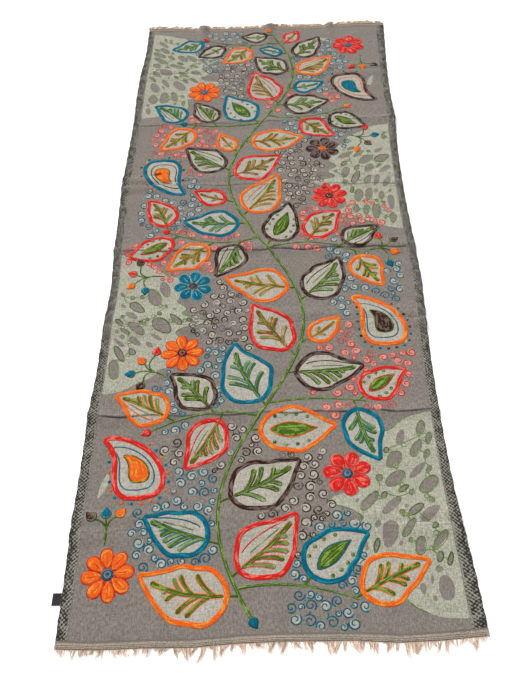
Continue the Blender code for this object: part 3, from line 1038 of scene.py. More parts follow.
def colour_leaves(grown):
    """Each leaf gets the next colour that none of its near neighbours has, and the next kind of inside."""
    for number, motif in enumerate(grown):
        near = {other["edge"] for other in grown[:number] if math.dist(other["middle"], motif["middle"]) < 0.125}
        choices = [LEAF_COLOURS[(number + more) % len(LEAF_COLOURS)] for more in range(len(LEAF_COLOURS))]
        motif["edge"] = next((colour for colour in choices if colour not in near), choices[0])
        motif["kind"] = "plain" if motif["length"] < 0.092 else LEAF_KINDS[number % len(LEAF_KINDS)]


PATTERN_SEED = 23
TIP_LEAF_LENGTH = 0.118
BEADED = 0.017


def free_stem_ends(branches, vine, room, rng):
    """A leaf at each branch's tip that has room for one; the other tips, and the vine's two, may bear a bud."""
    grown, buds = [], []
    for line in (*branches, vine[::-1], vine):
        tip = math.degrees(math.atan2(*(line[-1] - line[-4])[::-1]))
        made = None
        if len(grown) + len(buds) < len(BRANCHES):
            made = grown_leaf(line[-1], tip, 1, TIP_LEAF_LENGTH, room, rng)
        if made:
            grown.append(made)
        else:
            buds.append({"u": line[-1][0], "v": line[-1][1], "turn": tip})
    return grown, buds


def lay_out_pattern():
    """Finds each motif a place, the large ones first, and then stitches them all."""
    rng = random.Random(PATTERN_SEED)
    room = Room()
    vine = vine_line()
    branches = [smooth_line(points, 60) for points in BRANCHES]
    for line in (vine, *branches):
        take_stem(line, room)
    drops = []
    for motif in DROPS:
        length, width = motif["length"] + 2 * BEADED, motif["width"] + 2 * BEADED
        drops.append(room.settle(motif, drop_loop(length, width, motif["bend"], 24) - [BEADED, 0.0], 0.002))
    grown, buds = free_stem_ends(branches, vine, room, rng)

    def leaves_along_stems(first, last):
        leaves = grow_leaves(vine, VINE_LEAVES[first:last], room, rng)
        for line in branches:
            leaves += grow_leaves(line, BRANCH_LEAVES[first:last], room, rng)
        return leaves

    grown += leaves_along_stems(0, 1)
    flowers = [room.settle(motif, circle(0.52 * motif["size"]), 0.005) for motif in FLOWERS]
    fan = np.array([[-0.5, 0.1], [0.4, 1.1], [1.3, 0.9], [1.6, 0.0], [1.3, -0.9], [0.4, -1.1]])
    sprigs = [room.settle(motif, fan * motif["size"], 0.003) for motif in SPRIGS]
    grown += leaves_along_stems(1, None)
    colour_leaves(grown)
    motifs = room.copy()
    for field in FIELDS:
        net_field(field, room, motifs, rng)
    for motif in BLADES:
        blade(motif)
    for line in branches:
        stroke("green", line, 0.0054, 0.0009, ends=(1.0, 0.7))
        stroke("moss", line, 0.0021, 0.0006, 0.0006)
    stroke("green", vine, 0.0063, 0.0010)
    stroke("moss", vine, 0.0023, 0.0006, 0.0007)
    for motif in grown:
        foot, base = motif["foot"], np.array([motif["u"], motif["v"]])
        stroke("green", smooth_line([foot, 0.5 * (foot + base), base]), 0.0040, 0.0009, 0.0002)
        leaf(motif, rng)
    bud = leaf_loop(0.022, 0.018, 0.70, 0.0)
    for number, seat in enumerate(buds):
        beyond = placed(bud + [0.004, 0.0], seat)
        if motifs.is_free(beyond, 0.0005) and abs(beyond[:, 1]).max() < CLOTH_HALF_LENGTH + 0.003:
            room.take(beyond)
            colour = ("orange", "red", "teal")[number % 3]
            filled(colour, placed(bud - [0.003, 0.0], seat), 0.0013, 0.0003, 0.0024)
    for draw, kept in ((drop, drops), (flower, flowers), (sprig, sprigs)):
        for motif in filter(None, kept):
            draw(motif)
    for motif in CURL_CLUSTERS:
        curl_cluster(motif, room, rng)


# Finishes

# Each thread's and each yarn's dark, main and light shade
COLOURS = {name: {"dark": dark, "main": main, "light": light} for name, dark, main, light in (
    ("ground", (0.120, 0.102, 0.086), (0.214, 0.186, 0.158), (0.330, 0.292, 0.252)),
    ("pale", (0.150, 0.146, 0.106), (0.370, 0.362, 0.272), (0.660, 0.650, 0.525)),
    ("ecru", (0.190, 0.170, 0.135), (0.370, 0.345, 0.282), (0.690, 0.655, 0.560)),
    ("salmon", (0.360, 0.100, 0.080), (0.660, 0.260, 0.200), (0.860, 0.480, 0.390)),
    ("orange", (0.560, 0.060, 0.004), (1.000, 0.150, 0.012), (1.000, 0.380, 0.060)),
    ("red", (0.400, 0.009, 0.008), (0.790, 0.014, 0.010), (1.000, 0.200, 0.155)),
    ("teal", (0.001, 0.048, 0.072), (0.001, 0.148, 0.236), (0.010, 0.310, 0.440)),
    ("brown", (0.018, 0.005, 0.001), (0.044, 0.013, 0.002), (0.235, 0.165, 0.150)),
    ("green", (0.016, 0.044, 0.003), (0.078, 0.152, 0.008), (0.320, 0.470, 0.085)),
    ("moss", (0.050, 0.098, 0.020), (0.190, 0.300, 0.085), (0.440, 0.600, 0.260)),
    ("coral", (0.380, 0.030, 0.026), (0.760, 0.085, 0.075), (0.960, 0.310, 0.250)),
    ("lavender", (0.110, 0.085, 0.090), (0.240, 0.200, 0.215), (0.440, 0.390, 0.410)),
    ("pale_thread", (0.140, 0.250, 0.270), (0.330, 0.450, 0.460), (0.600, 0.680, 0.670)),
)}


WOOL_PITCH = 0.00062
HEADING_PITCH = 0.0010
# Each wool's heather, shares of dark and of pale flecks, and share of thick threads
WOOLS = {
    "ground": (0.17, 0.30, 0.24, 0.42),
    "pale": (0.14, 0.75, 0.80, 0.28),
    "ecru": (0.14, 0.75, 0.90, 0.22),
    "salmon": (0.14, 0.60, 0.70, 0.20),
}


def set_values(node, values):
    for socket, value in values.items():
        node.inputs[socket].default_value = value


class Recipe:
    """A finish being mixed: its node tree, with short ways to add and join what it is made of."""

    def __init__(self, name, roughness, sheen=0.0, sheen_roughness=0.5, specular=0.25):
        self.material = bpy.data.materials.new(name)
        self.material.use_nodes = True
        self.tree = self.material.node_tree
        self.shader = self.tree.nodes["Principled BSDF"]
        set_values(self.shader, {"Roughness": roughness, "Sheen Weight": sheen,
                                 "Sheen Roughness": sheen_roughness, "Specular IOR Level": specular})

    def add(self, kind, inputs=None, **settings):
        """A new node, each of its inputs set to a value or joined to another node's output."""
        made = self.tree.nodes.new(kind)
        for setting, value in settings.items():
            setattr(made, setting, value)
        for socket, value in (inputs or {}).items():
            if isinstance(value, bpy.types.NodeSocket):
                self.tree.links.new(value, made.inputs[socket])
            else:
                made.inputs[socket].default_value = value
        return made

    def place(self):
        return self.add("ShaderNodeTexCoord").outputs["Object"]

    def chart(self):
        return self.add("ShaderNodeUVMap", uv_map="chart").outputs["UV"]

    def parts(self, source):
        """A place's X and its Y."""
        made = self.add("ShaderNodeSeparateXYZ", {"Vector": source})
        return made.outputs["X"], made.outputs["Y"]

    def math(self, operation, *values):
        return self.add("ShaderNodeMath", dict(enumerate(values)), operation=operation).outputs[0]

    def times(self, value, factor):
        return self.math("MULTIPLY", value, factor)

    def scaled(self, value, factor, shift):
        """The value times the factor, plus the shift."""
        return self.math("MULTIPLY_ADD", value, factor, shift)

    def wave(self, value, pace, start=0.0):
        return self.math("SINE", self.scaled(value, pace, start))

    def between(self, value, low, high):
        """0 where the value is low, 1 where it is high, and a straight line between."""
        inputs = {"Value": value, "From Min": low, "From Max": high}
        return self.add("ShaderNodeMapRange", inputs, clamp=True).outputs["Result"]

    def noise(self, source, scale, detail=2.0, roughness=0.5):
        inputs = {"Vector": source, "Scale": scale, "Detail": detail, "Roughness": roughness}
        return self.add("ShaderNodeTexNoise", inputs).outputs["Fac"]

    def grain(self, source, x, y, z=1.0, detail=2.0, roughness=0.5):
        """Noise with a scale of its own along each axis."""
        stretched = self.add("ShaderNodeMapping", {"Vector": source, "Scale": (x, y, z)})
        return self.noise(stretched.outputs["Vector"], 1.0, detail, roughness)

    def mix(self, share, first, second):
        first, second = ((*colour, 1.0) if isinstance(colour, tuple) else colour for colour in (first, second))
        return self.add("ShaderNodeMix", {0: share, 6: first, 7: second}, data_type="RGBA").outputs[2]

    def tinted(self, colour, tint, value, low, high, most):
        """The colour with the tint over it, from none where the value is low to that share where it is high."""
        return self.mix(self.times(self.between(value, low, high), most), colour, tint)

    def finish(self, colour, height, distance, strength):
        self.tree.links.new(colour, self.shader.inputs["Base Color"])
        bump = self.add("ShaderNodeBump", {"Height": height, "Distance": distance, "Strength": strength})
        self.tree.links.new(bump.outputs["Normal"], self.shader.inputs["Normal"])
        return self.material


def plain_weave(recipe, source, pitch):
    """Height of over-and-under threads, from 0 in the gaps to 1 on top of a thread."""
    across, along = (recipe.wave(part, math.pi / pitch) for part in recipe.parts(source))
    return recipe.scaled(recipe.times(across, along), 0.5, 0.5)


def fold_shade(recipe, place):
    """Painted shade along each fold across the width: how dark the wool is drawn there, uneven along the fold."""
    x, y = recipe.parts(place)
    wander = 0.0
    for reach, pace, start in FOLD_WANDER:
        wander = recipe.scaled(recipe.wave(x, pace, start), reach, wander)
    straight = recipe.math("SUBTRACT", y, wander)
    patches = recipe.between(recipe.grain(place, 16.0, 3.0, detail=3.0), 0.34, 0.60)
    total = 0.0
    for fold in CROSS_FOLDS:
        start, slope, bow = groove_course(fold)
        middle = recipe.scaled(recipe.scaled(x, bow, slope), x, start)
        middle = recipe.scaled(recipe.wave(x, KINKS_PER_METRE, KINK_SHIFT * fold["y"]), KINK_DEPTH, middle)
        away = recipe.math("ABSOLUTE", recipe.math("SUBTRACT", straight, middle))
        line = recipe.between(away, fold["shade_width"], 0.25 * fold["shade_width"])
        total = recipe.scaled(line, fold["shade"], total)
    return recipe.times(total, recipe.scaled(patches, 0.6, 0.4))


def woven_wool(name, colours, heather, dark_flecks, pale_flecks, slubs):
    """Fine plain-woven wool, heathered along its threads, with flecks of the other yarn, painted shade in the gaps
    of its weave and painted shade along the folds.
    """
    recipe = Recipe(name, 0.92, sheen=0.10, sheen_roughness=0.55)
    place = recipe.place()
    dark, light = colours["dark"], colours["light"]
    weave = plain_weave(recipe, place, WOOL_PITCH)
    weft = recipe.grain(place, 38.0, 420.0, 60.0, 4.0, 0.62)
    warp = recipe.grain(place, 420.0, 38.0, 60.0, 4.0, 0.62)
    threads = recipe.scaled(weft, 0.5, recipe.times(warp, 0.5))
    colour = recipe.mix(recipe.between(threads, 0.5 - heather, 0.5 + heather), dark, light)
    colour = recipe.mix(0.30, colour, colours["main"])
    colour = recipe.tinted(colour, light, recipe.grain(place, 480.0, 620.0, 300.0), 0.53, 0.66, pale_flecks)
    moved = recipe.add("ShaderNodeMapping", {"Vector": place, "Location": (3.1, 1.7, 0.4)}).outputs["Vector"]
    colour = recipe.tinted(colour, dark, recipe.grain(moved, 420.0, 560.0, 300.0), 0.53, 0.66, dark_flecks)
    clouds = recipe.between(recipe.noise(place, 13.0, 4.0, 0.6), 0.30, 0.72)
    colour = recipe.mix(0.14, colour, recipe.mix(clouds, dark, light))
    for lengthways, crossways in ((130.0, 430.0), (430.0, 130.0)):
        thick = recipe.between(recipe.grain(place, lengthways, crossways, 60.0, 3.0, 0.7), 0.42, 0.58)
        colour = recipe.mix(slubs, colour, recipe.mix(thick, dark, light))
    # painted shade in the gaps of the weave, where the threads' height is low
    colour = recipe.tinted(colour, dark, weave, 0.30, 0.0, 0.35)
    # painted shade along the folds: the wool's dark shade, darker still, mixed in where fold_shade is strong
    painted_fold_shade_colour = tuple(0.30 * part for part in dark)
    colour = recipe.mix(fold_shade(recipe, place), colour, painted_fold_shade_colour)
    return recipe.finish(colour, recipe.scaled(threads, 1.2, weave), 0.00025, 0.8)


def chain_stitch(name, colours, breaks=0.0):
    """Chain-stitched wool: looped stitches in rows, with painted shade between the loops and rows, and paler
    lengths of thread.
    """
    recipe = Recipe(name, 0.72, specular=0.08)
    chart = recipe.chart()
    dark, light = colours["dark"], colours["light"]
    along, across = recipe.parts(chart)
    row = recipe.math("FRACT", recipe.math("ADD", across, 0.5))
    from_middle = recipe.times(recipe.math("ABSOLUTE", recipe.math("SUBTRACT", row, 0.5)), 2.0)
    loop = recipe.math("FRACT", recipe.scaled(from_middle, 0.55, along))
    rounding = recipe.math("SUBTRACT", 1.0, recipe.math("POWER", from_middle, 3.0))
    rise = recipe.math("MAXIMUM", recipe.wave(loop, math.pi), 0.0)
    stitch = recipe.times(rounding, recipe.math("POWER", rise, 0.55))
    fuzz = recipe.noise(recipe.place(), 1900.0)
    lots = recipe.between(recipe.grain(chart, 0.13, 0.46, 1.0, 2.5, 0.6), 0.52, 0.585)
    colour = recipe.mix(lots, colours["main"], light)
    colour = recipe.tinted(colour, dark, recipe.grain(chart, 1.1, 1.3, detail=1.0), 0.50, 0.34, 0.62)
    if breaks:
        colour = recipe.tinted(colour, light, recipe.grain(chart, 0.14, 0.34), 0.54, 0.59, breaks)
    # painted shade where the stitch height is low, between loops and between rows: mixed towards the thread's dark
    # shade
    painted_gap_shade = recipe.math("SUBTRACT", 1.0, recipe.between(stitch, 0.05, 0.55))
    colour = recipe.mix(recipe.times(painted_gap_shade, 0.55), colour, dark)
    colour = recipe.tinted(colour, light, fuzz, 0.52, 0.75, 0.20)
    return recipe.finish(colour, recipe.scaled(fuzz, 0.30, stitch), 0.0007, 0.9)


def border_twill():
    """Dark border: slanting rows of dark spots on grey, in uneven patches, darker towards its outer edge."""
    recipe = Recipe("border_twill", 0.92, specular=0.10)
    chart = recipe.chart()
    along, across = recipe.parts(chart)
    shifted = recipe.scaled(recipe.grain(chart, 1.1, 1.3), 0.75, along)
    falling, rising = (recipe.scaled(across, slant, shifted) for slant in (0.95, -1.05))
    one_way, other_way = (recipe.wave(slanted, math.tau / 0.72) for slanted in (falling, rising))
    lattice = recipe.times(recipe.math("ADD", one_way, other_way), 0.9)
    inner_half = recipe.times(recipe.between(across, 0.55, 1.25), 0.5)
    lattice = recipe.scaled(inner_half, other_way, lattice)
    specks = recipe.grain(chart, 1.9, 2.8, 1.0, 3.0, 0.6)
    clumps = recipe.grain(chart, 0.62, 1.00, 1.0, 2.0, 0.6)
    uneven = recipe.scaled(recipe.math("SUBTRACT", specks, 0.5), 6.0, lattice)
    uneven = recipe.scaled(recipe.math("SUBTRACT", clumps, 0.5), 6.5, uneven)
    uneven = recipe.scaled(recipe.between(across, 1.2, 0.1), -0.75, uneven)
    margin = recipe.between(across, 1.64, 1.76)
    dots = recipe.between(recipe.wave(shifted, math.tau / 0.80), -0.8, 0.3)
    pale = recipe.math("MAXIMUM", recipe.between(uneven, -0.9, 1.1), recipe.times(dots, margin))
    fuzz = recipe.noise(recipe.place(), 1500.0)
    yarns = recipe.between(fuzz, 0.35, 0.70)
    dark = recipe.mix(yarns, (0.014, 0.013, 0.012), (0.058, 0.055, 0.047))
    light = recipe.mix(yarns, (0.185, 0.174, 0.146), (0.410, 0.388, 0.325))
    ground = recipe.mix(specks, COLOURS["ground"]["dark"], COLOURS["ground"]["light"])
    colour = recipe.mix(recipe.between(across, 1.86, 1.92), recipe.mix(pale, dark, light), ground)
    return recipe.finish(colour, recipe.scaled(fuzz, 0.5, lattice), 0.0003, 0.7)


def heading_weave():
    """Beige heading: fine dark lines of weft that come and go, with flecks and a pinkish cast in places."""
    recipe = Recipe("heading_weave", 0.92)
    chart = recipe.chart()
    across = recipe.parts(chart)[1]
    weave = plain_weave(recipe, recipe.place(), HEADING_PITCH)
    straying = recipe.scaled(recipe.grain(chart, 24.0, 6.0), 0.0030, across)
    lines = recipe.between(recipe.wave(straying, math.tau / 0.0036), 0.25, 0.95)
    strength = recipe.between(recipe.grain(chart, 120.0, 400.0), 0.40, 0.64)
    flecks = recipe.grain(chart, 430.0, 900.0)
    cast = recipe.between(recipe.grain(chart, 18.0, 90.0), 0.36, 0.64)
    colour = recipe.mix(cast, (0.325, 0.288, 0.232), (0.430, 0.338, 0.268))
    colour = recipe.tinted(colour, (0.560, 0.490, 0.410), flecks, 0.50, 0.64, 0.75)
    colour = recipe.tinted(colour, (0.110, 0.088, 0.070), flecks, 0.50, 0.38, 0.70)
    lined = recipe.times(recipe.times(lines, strength), 0.60)
    colour = recipe.mix(lined, colour, (0.085, 0.066, 0.052))
    ground = recipe.mix(flecks, COLOURS["ground"]["dark"], COLOURS["ground"]["light"])
    starts = HALF_LENGTH - HEADING_LENGTH + 0.0030
    by_the_panel = recipe.between(recipe.math("ABSOLUTE", across), starts + 0.0006, starts)
    colour = recipe.mix(by_the_panel, colour, ground)
    return recipe.finish(colour, recipe.scaled(flecks, 0.8, weave), 0.0003, 0.8)


def frayed_yarn():
    """Loose wool yarn, tan to peach, paler towards some tips."""
    recipe = Recipe("frayed_yarn", 0.85, sheen=0.3)
    place = recipe.place()
    lots = recipe.between(recipe.grain(place, 420.0, 60.0, 200.0), 0.34, 0.66)
    fuzz = recipe.noise(place, 1400.0, 1.0)
    colour = recipe.mix(lots, (0.450, 0.260, 0.160), (0.900, 0.640, 0.440))
    colour = recipe.tinted(colour, (0.840, 0.680, 0.520), fuzz, 0.5, 0.8, 0.4)
    return recipe.finish(colour, fuzz, 0.0001, 0.5)


def label_tape():
    """Black woven tape, with fine ribs across it."""
    recipe = Recipe("label_tape", 0.55, sheen=0.1)
    place = recipe.place()
    ribs = recipe.wave(recipe.parts(place)[1], math.tau / 0.0007)
    fuzz = recipe.noise(place, 1200.0)
    colour = recipe.mix(recipe.between(fuzz, 0.35, 0.7), (0.004, 0.004, 0.005), (0.022, 0.022, 0.026))
    return recipe.finish(colour, recipe.scaled(fuzz, 0.6, ribs), 0.00012, 0.6)


def stitch_cotton(name, colour):
    recipe = Recipe(name, 0.7)
    fuzz = recipe.noise(recipe.place(), 1500.0)
    darker = tuple(0.6 * part for part in colour)
    return recipe.finish(recipe.mix(recipe.between(fuzz, 0.3, 0.7), darker, colour), fuzz, 0.0001, 0.5)


def make_finishes():
    finishes = {name: woven_wool(f"{name}_wool", COLOURS[name], *grain) for name, grain in WOOLS.items()}
    for name in COLOURS:
        if name not in WOOLS:
            finishes[name] = chain_stitch(f"{name}_stitching", COLOURS[name], 0.80 if name == "brown" else 0.0)
    finishes["border"] = border_twill()
    finishes["heading"] = heading_weave()
    finishes["fringe"] = frayed_yarn()
    finishes["label"] = label_tape()
    finishes["dark_cotton"] = stitch_cotton("dark_cotton", (0.046, 0.034, 0.028))
    finishes["beige_cotton"] = stitch_cotton("beige_cotton", (0.170, 0.140, 0.115))
    return finishes


# Making pieces

def added(name, data):
    """A new object in the scene, with that mesh, light or camera."""
    made = bpy.data.objects.new(name, data)
    bpy.context.scene.collection.objects.link(made)
    return made


def add_piece(name, points, faces, materials, chart=None, crisp_rim=False, finish_of=None):
    """A piece from its points and faces, with each corner's place on the chart and each face's finish."""
    mesh = bpy.data.meshes.new(name)
    mesh.from_pydata(np.asarray(points).tolist(), [], faces)
    for material in materials:
        mesh.materials.append(material)
    if chart is not None:
        layer = mesh.uv_layers.new(name="chart")
        layer.data.foreach_set("uv", np.asarray(chart, dtype=np.float32).ravel())
    if finish_of is not None:
        mesh.polygons.foreach_set("material_index", np.asarray(finish_of, dtype=np.int32))
    mesh.polygons.foreach_set("use_smooth", np.full(len(mesh.polygons), True))
    if crisp_rim:
        mesh.set_sharp_from_angle(angle=math.radians(50.0))
    mesh.validate()
    mesh.update()
    return added(name, mesh)


def settle(piece, slot, *nodes):
    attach(piece, "root")
    if nodes:
        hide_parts(*nodes)
    return piece


GRID_STEP = 0.0058
GROOVE_ROWS = (-0.0056, -0.0028, -0.0013, 0.0, 0.0013, 0.0028, 0.0056)
UNDER_STEP = 0.022
CLEAR_OF_LOOPS = 0.0026


def fold_lines(step, offsets):
    """Lines along the folds across the width and at those distances from them, so that each crest is crisp."""
    u = np.linspace(-PANEL_HALF_WIDTH, PANEL_HALF_WIDTH, int(2 * PANEL_HALF_WIDTH / step))
    return [points_at(u, groove_line(fold, u) + away) for fold in CROSS_FOLDS for away in offsets]


def rectangle_rim(step):
    """The panel's rim once around, as evenly spaced points."""
    half_u, half_v = PANEL_HALF_WIDTH, CLOTH_HALF_LENGTH
    across, along = (np.linspace(-half, half, int(2 * half / step) + 1) for half in (half_u, half_v))
    sides = [
        points_at(across, np.full_like(across, -half_v)),
        points_at(np.full_like(along, half_u), along),
        points_at(across[::-1], np.full_like(across, half_v)),
        points_at(np.full_like(along, -half_u), along[::-1]),
    ]
    return np.vstack([side[:-1] for side in sides])


def inner_grid(step):
    u = np.arange(-PANEL_HALF_WIDTH + step, PANEL_HALF_WIDTH - 0.4 * step, step)
    v = np.arange(-CLOTH_HALF_LENGTH + step, CLOTH_HALF_LENGTH - 0.4 * step, step)
    mesh_u, mesh_v = np.meshgrid(u, v)
    mesh_u = mesh_u + 0.5 * step * (np.arange(len(v)) % 2)[:, None] * (np.abs(mesh_u) < PANEL_HALF_WIDTH - step)
    return points_at(mesh_u.ravel(), mesh_v.ravel())


def clear_of(points, kept, distance):
    """The points that have none of the kept ones within the distance."""
    taken = {}
    for x, y in kept:
        taken.setdefault((int(x // distance), int(y // distance)), []).append((x, y))
    clear = []
    for x, y in points:
        i, j = int(x // distance), int(y // distance)
        near = (other for a in (-1, 0, 1) for b in (-1, 0, 1) for other in taken.get((i + a, j + b), ()))
        if all((x - other[0]) ** 2 + (y - other[1]) ** 2 > distance ** 2 for other in near):
            clear.append((x, y))
    return np.array(clear)


def triangulated(rim, loops, lines, step, clearance):
    """Triangles over the whole panel that keep the rim, the loops and the fold lines as edges."""
    points, edges = [], []
    for line, closed in [(rim, True)] + [(loop, True) for loop in loops] + [(line, False) for line in lines]:
        first = len(points)
        points.extend(map(tuple, line))
        edges.extend((first + i, first + i + 1) for i in range(len(line) - 1))
        if closed:
            edges.append((len(points) - 1, first))
    free = clear_of(inner_grid(step), points, clearance)
    points.extend(map(tuple, free))
    made = delaunay_2d_cdt([Vector(point) for point in points], edges, [], 0, 1e-6, True)
    flat = np.array([tuple(vert) for vert in made[0]])
    return flat, [list(face) for face in made[2]]


def wound_up(flat, faces):
    """Each face turned so that it faces up."""
    made = []
    for face in faces:
        a, b, c = (flat[corner] for corner in face[:3])
        turn = (b[0] - a[0]) * (c[1] - a[1]) - (b[1] - a[1]) * (c[0] - a[0])
        made.append(face if turn > 0 else face[::-1])
    return made


def rim_order(flat):
    """Indices of the panel's rim points, once around."""
    edge = 1e-5
    half_u, half_v = PANEL_HALF_WIDTH, CLOTH_HALF_LENGTH
    near = [i for i in np.argsort(flat[:, 0]) if flat[i, 1] < -half_v + edge]
    right = [i for i in np.argsort(flat[:, 1]) if flat[i, 0] > half_u - edge]
    far = [i for i in np.argsort(-flat[:, 0]) if flat[i, 1] > half_v - edge]
    left = [i for i in np.argsort(-flat[:, 1]) if flat[i, 0] < -half_u + edge]
    return near[:-1] + right[:-1] + far[:-1] + left[:-1]


def clipped_to_panel(flat):
    half_sizes = np.array([PANEL_HALF_WIDTH, CLOTH_HALF_LENGTH])
    return np.clip(flat, -half_sizes, half_sizes)


def finish_numbers(flat, faces, names):
    """Which finish each face of the panel has: that of the uppermost woven area over its middle."""
    centres = np.array([flat[face].mean(axis=0) for face in faces])
    numbers = np.zeros(len(faces), dtype=int)
    for area in WOVEN_AREAS:
        low, high = area["loop"].min(axis=0), area["loop"].max(axis=0)
        near = np.where(((centres >= low) & (centres <= high)).all(axis=1))[0]
        if len(near):
            numbers[near[inside(centres[near], area["loop"])]] = names.index(area["finish"])
    return numbers


def panel(finishes):
    """The woven panel: a thin closed sheet whose faces follow the edges of its woven areas."""
    WOVEN_AREAS.sort(key=lambda area: area["rank"])
    for area in WOVEN_AREAS:
        area["loop"] = clipped_to_panel(area["loop"])
    loops = [area["loop"] for area in WOVEN_AREAS]
    folds = fold_lines(GRID_STEP, GROOVE_ROWS)
    flat, faces = triangulated(rectangle_rim(GRID_STEP), loops, folds, GRID_STEP, CLEAR_OF_LOOPS)
    flat[:, 0] = np.clip(flat[:, 0], -PANEL_HALF_WIDTH, PANEL_HALF_WIDTH)
    faces = wound_up(flat, faces)
    numbers = finish_numbers(flat, faces, list(WOOLS))
    rim = rim_order(flat)
    folds = fold_lines(UNDER_STEP, (0.0,))
    under_flat, under_faces = triangulated(flat[rim], [], folds, UNDER_STEP, 0.5 * UNDER_STEP)
    under_rim = rim_order(under_flat)
    points = np.vstack([on_cloth(flat[:, 0], flat[:, 1]), under_cloth(under_flat[:, 0], under_flat[:, 1])])
    shift = len(flat)
    faces = faces + [[corner + shift for corner in face[::-1]] for face in wound_up(under_flat, under_faces)]
    for i in range(len(rim)):
        k = (i + 1) % len(rim)
        faces.append([under_rim[i] + shift, under_rim[k] + shift, rim[k], rim[i]])
    numbers = np.concatenate([numbers, np.zeros(len(faces) - len(numbers), dtype=int)])
    wools = [finishes[name] for name in WOOLS]
    piece = add_piece("panel_cloth", points, faces, wools, crisp_rim=True, finish_of=numbers)
    return settle(piece, "panel_cloth", "woven_panel")


def strip(name, u, v, material, chart_of, edge=None):
    """A closed sheet over a grid of flat places, charted along and across itself."""
    mesh_u, mesh_v = np.meshgrid(u, v, indexing="ij")
    shifted_u = mesh_u + (edge(mesh_u, mesh_v) if edge else 0.0)
    top = on_cloth(shifted_u, mesh_v).reshape(-1, 3)
    low = under_cloth(shifted_u, mesh_v).reshape(-1, 3)
    rows, columns = len(u), len(v)
    count = rows * columns
    faces, chart = [], []

    def charted(*corners):
        faces.append(list(corners))
        chart.extend(chart_of(mesh_u.flat[corner % count], mesh_v.flat[corner % count]) for corner in corners)

    for i in range(rows - 1):
        for j in range(columns - 1):
            a, b, c, d = i * columns + j, (i + 1) * columns + j, (i + 1) * columns + j + 1, i * columns + j + 1
            charted(a, b, c, d)
            charted(d + count, c + count, b + count, a + count)
    for i in range(rows - 1):
        a, b = i * columns, (i + 1) * columns
        charted(a + count, b + count, b, a)
        a, b = a + columns - 1, b + columns - 1
        charted(a, b, b + count, a + count)
    for j in range(columns - 1):
        charted(j, j + 1, j + 1 + count, j + count)
        a = (rows - 1) * columns + j
        charted(a + count, a + 1 + count, a + 1, a)
    return add_piece(name, np.vstack([top, low]), faces, [material], chart, crisp_rim=True)


def border(side, finishes):
    inner, outer = PANEL_HALF_WIDTH + SEAM_GAP, HALF_WIDTH
    u = np.sort(side * np.linspace(inner, outer, 9))
    v = np.linspace(-CLOTH_HALF_LENGTH, CLOTH_HALF_LENGTH, 360)

    def edge(mesh_u, mesh_v):
        outward = np.clip((np.abs(mesh_u) - inner) / (outer - inner), 0.0, 1.0) ** 3
        return side * outward * (0.0004 * np.sin(520.0 * mesh_v) + 0.0005 * np.sin(173.0 * mesh_v + side))

    def chart_of(at_u, at_v):
        return (100.0 * at_v, 100.0 * (outer - abs(at_u)))

    name = "left" if side < 0 else "right"
    piece = strip(f"border_{name}_cloth", u, v, finishes["border"], chart_of, edge)
    return settle(piece, "border_cloth", f"border_{name}")


def heading(end, finishes):
    inner = end * (HALF_LENGTH - HEADING_LENGTH)
    u = np.linspace(-HALF_WIDTH, HALF_WIDTH, 160)
    v = np.sort(np.linspace(inner, end * HALF_LENGTH, 6))
    name = "near" if end < 0 else "far"
    cloth = strip(f"heading_{name}_cloth", u, v, finishes["heading"], lambda a, b: (a, b))
    return settle(cloth, "fringe_yarn", f"heading_fringe_{name}")


# Fringe

LOCKS_PER_END = 72
LOCK_LENGTHS = {
    "near": {"middle": 0.025, "spread": 0.007, "yarns": 22, "thick": 1.0, "sink": 2.0},
    "far": {"middle": 0.025, "spread": 0.003, "yarns": 40, "thick": 1.6, "sink": 0.35},
}
LOCK_LEAN = 0.34
CURLY_CURL, POINTED_CURL = 1.8, 0.6
LOOSE_YARNS = 90
YARN_RADIUS = 0.00030
YARN_SECTIONS = 8


def yarn(points, faces, path, radius):
    """A tapering three-sided yarn along a path in space, closed at both ends."""
    first = len(points)
    for number, at in enumerate(path):
        taper = radius * (1.0 - 0.72 * number / (len(path) - 1))
        for corner in range(3):
            angle = math.tau * corner / 3 + 0.5
            points.append((at[0] + taper * math.cos(angle), at[1], at[2] + taper * math.sin(angle)))
    for number in range(len(path) - 1):
        a = first + 3 * number
        for corner in range(3):
            k = (corner + 1) % 3
            faces.append([a + corner, a + k, a + 3 + k, a + 3 + corner])
    faces.append([first, first + 2, first + 1])
    last = first + 3 * (len(path) - 1)
    faces.append([last, last + 1, last + 2])


def yarn_path(root, end, length, lean, curl, drawn_in, rest, sink):
    """A yarn's path from its root: it leans, curls round to one side and sinks to the floor."""
    x, y = root[0], root[1]
    path = [(x, y, max(root[2], 0.0005))]
    pace = length / (YARN_SECTIONS - 1)
    for step in range(1, YARN_SECTIONS):
        t = step / (YARN_SECTIONS - 1)
        heading = lean + curl * t ** 1.5
        x += pace * math.sin(heading) + drawn_in / (YARN_SECTIONS - 1)
        y += end * pace * math.cos(heading)
        path.append((x, y, max(rest + (root[2] - rest) * (1.0 - t) ** sink, 0.0004)))
    return path


def yarn_root(u, end, sunk):
    """Where a yarn leaves the heading's edge, that far below its upper side."""
    root = on_cloth(np.array([u]), np.array([end * (HALF_LENGTH - 0.0012)]))[0]
    root[2] -= sunk
    return root


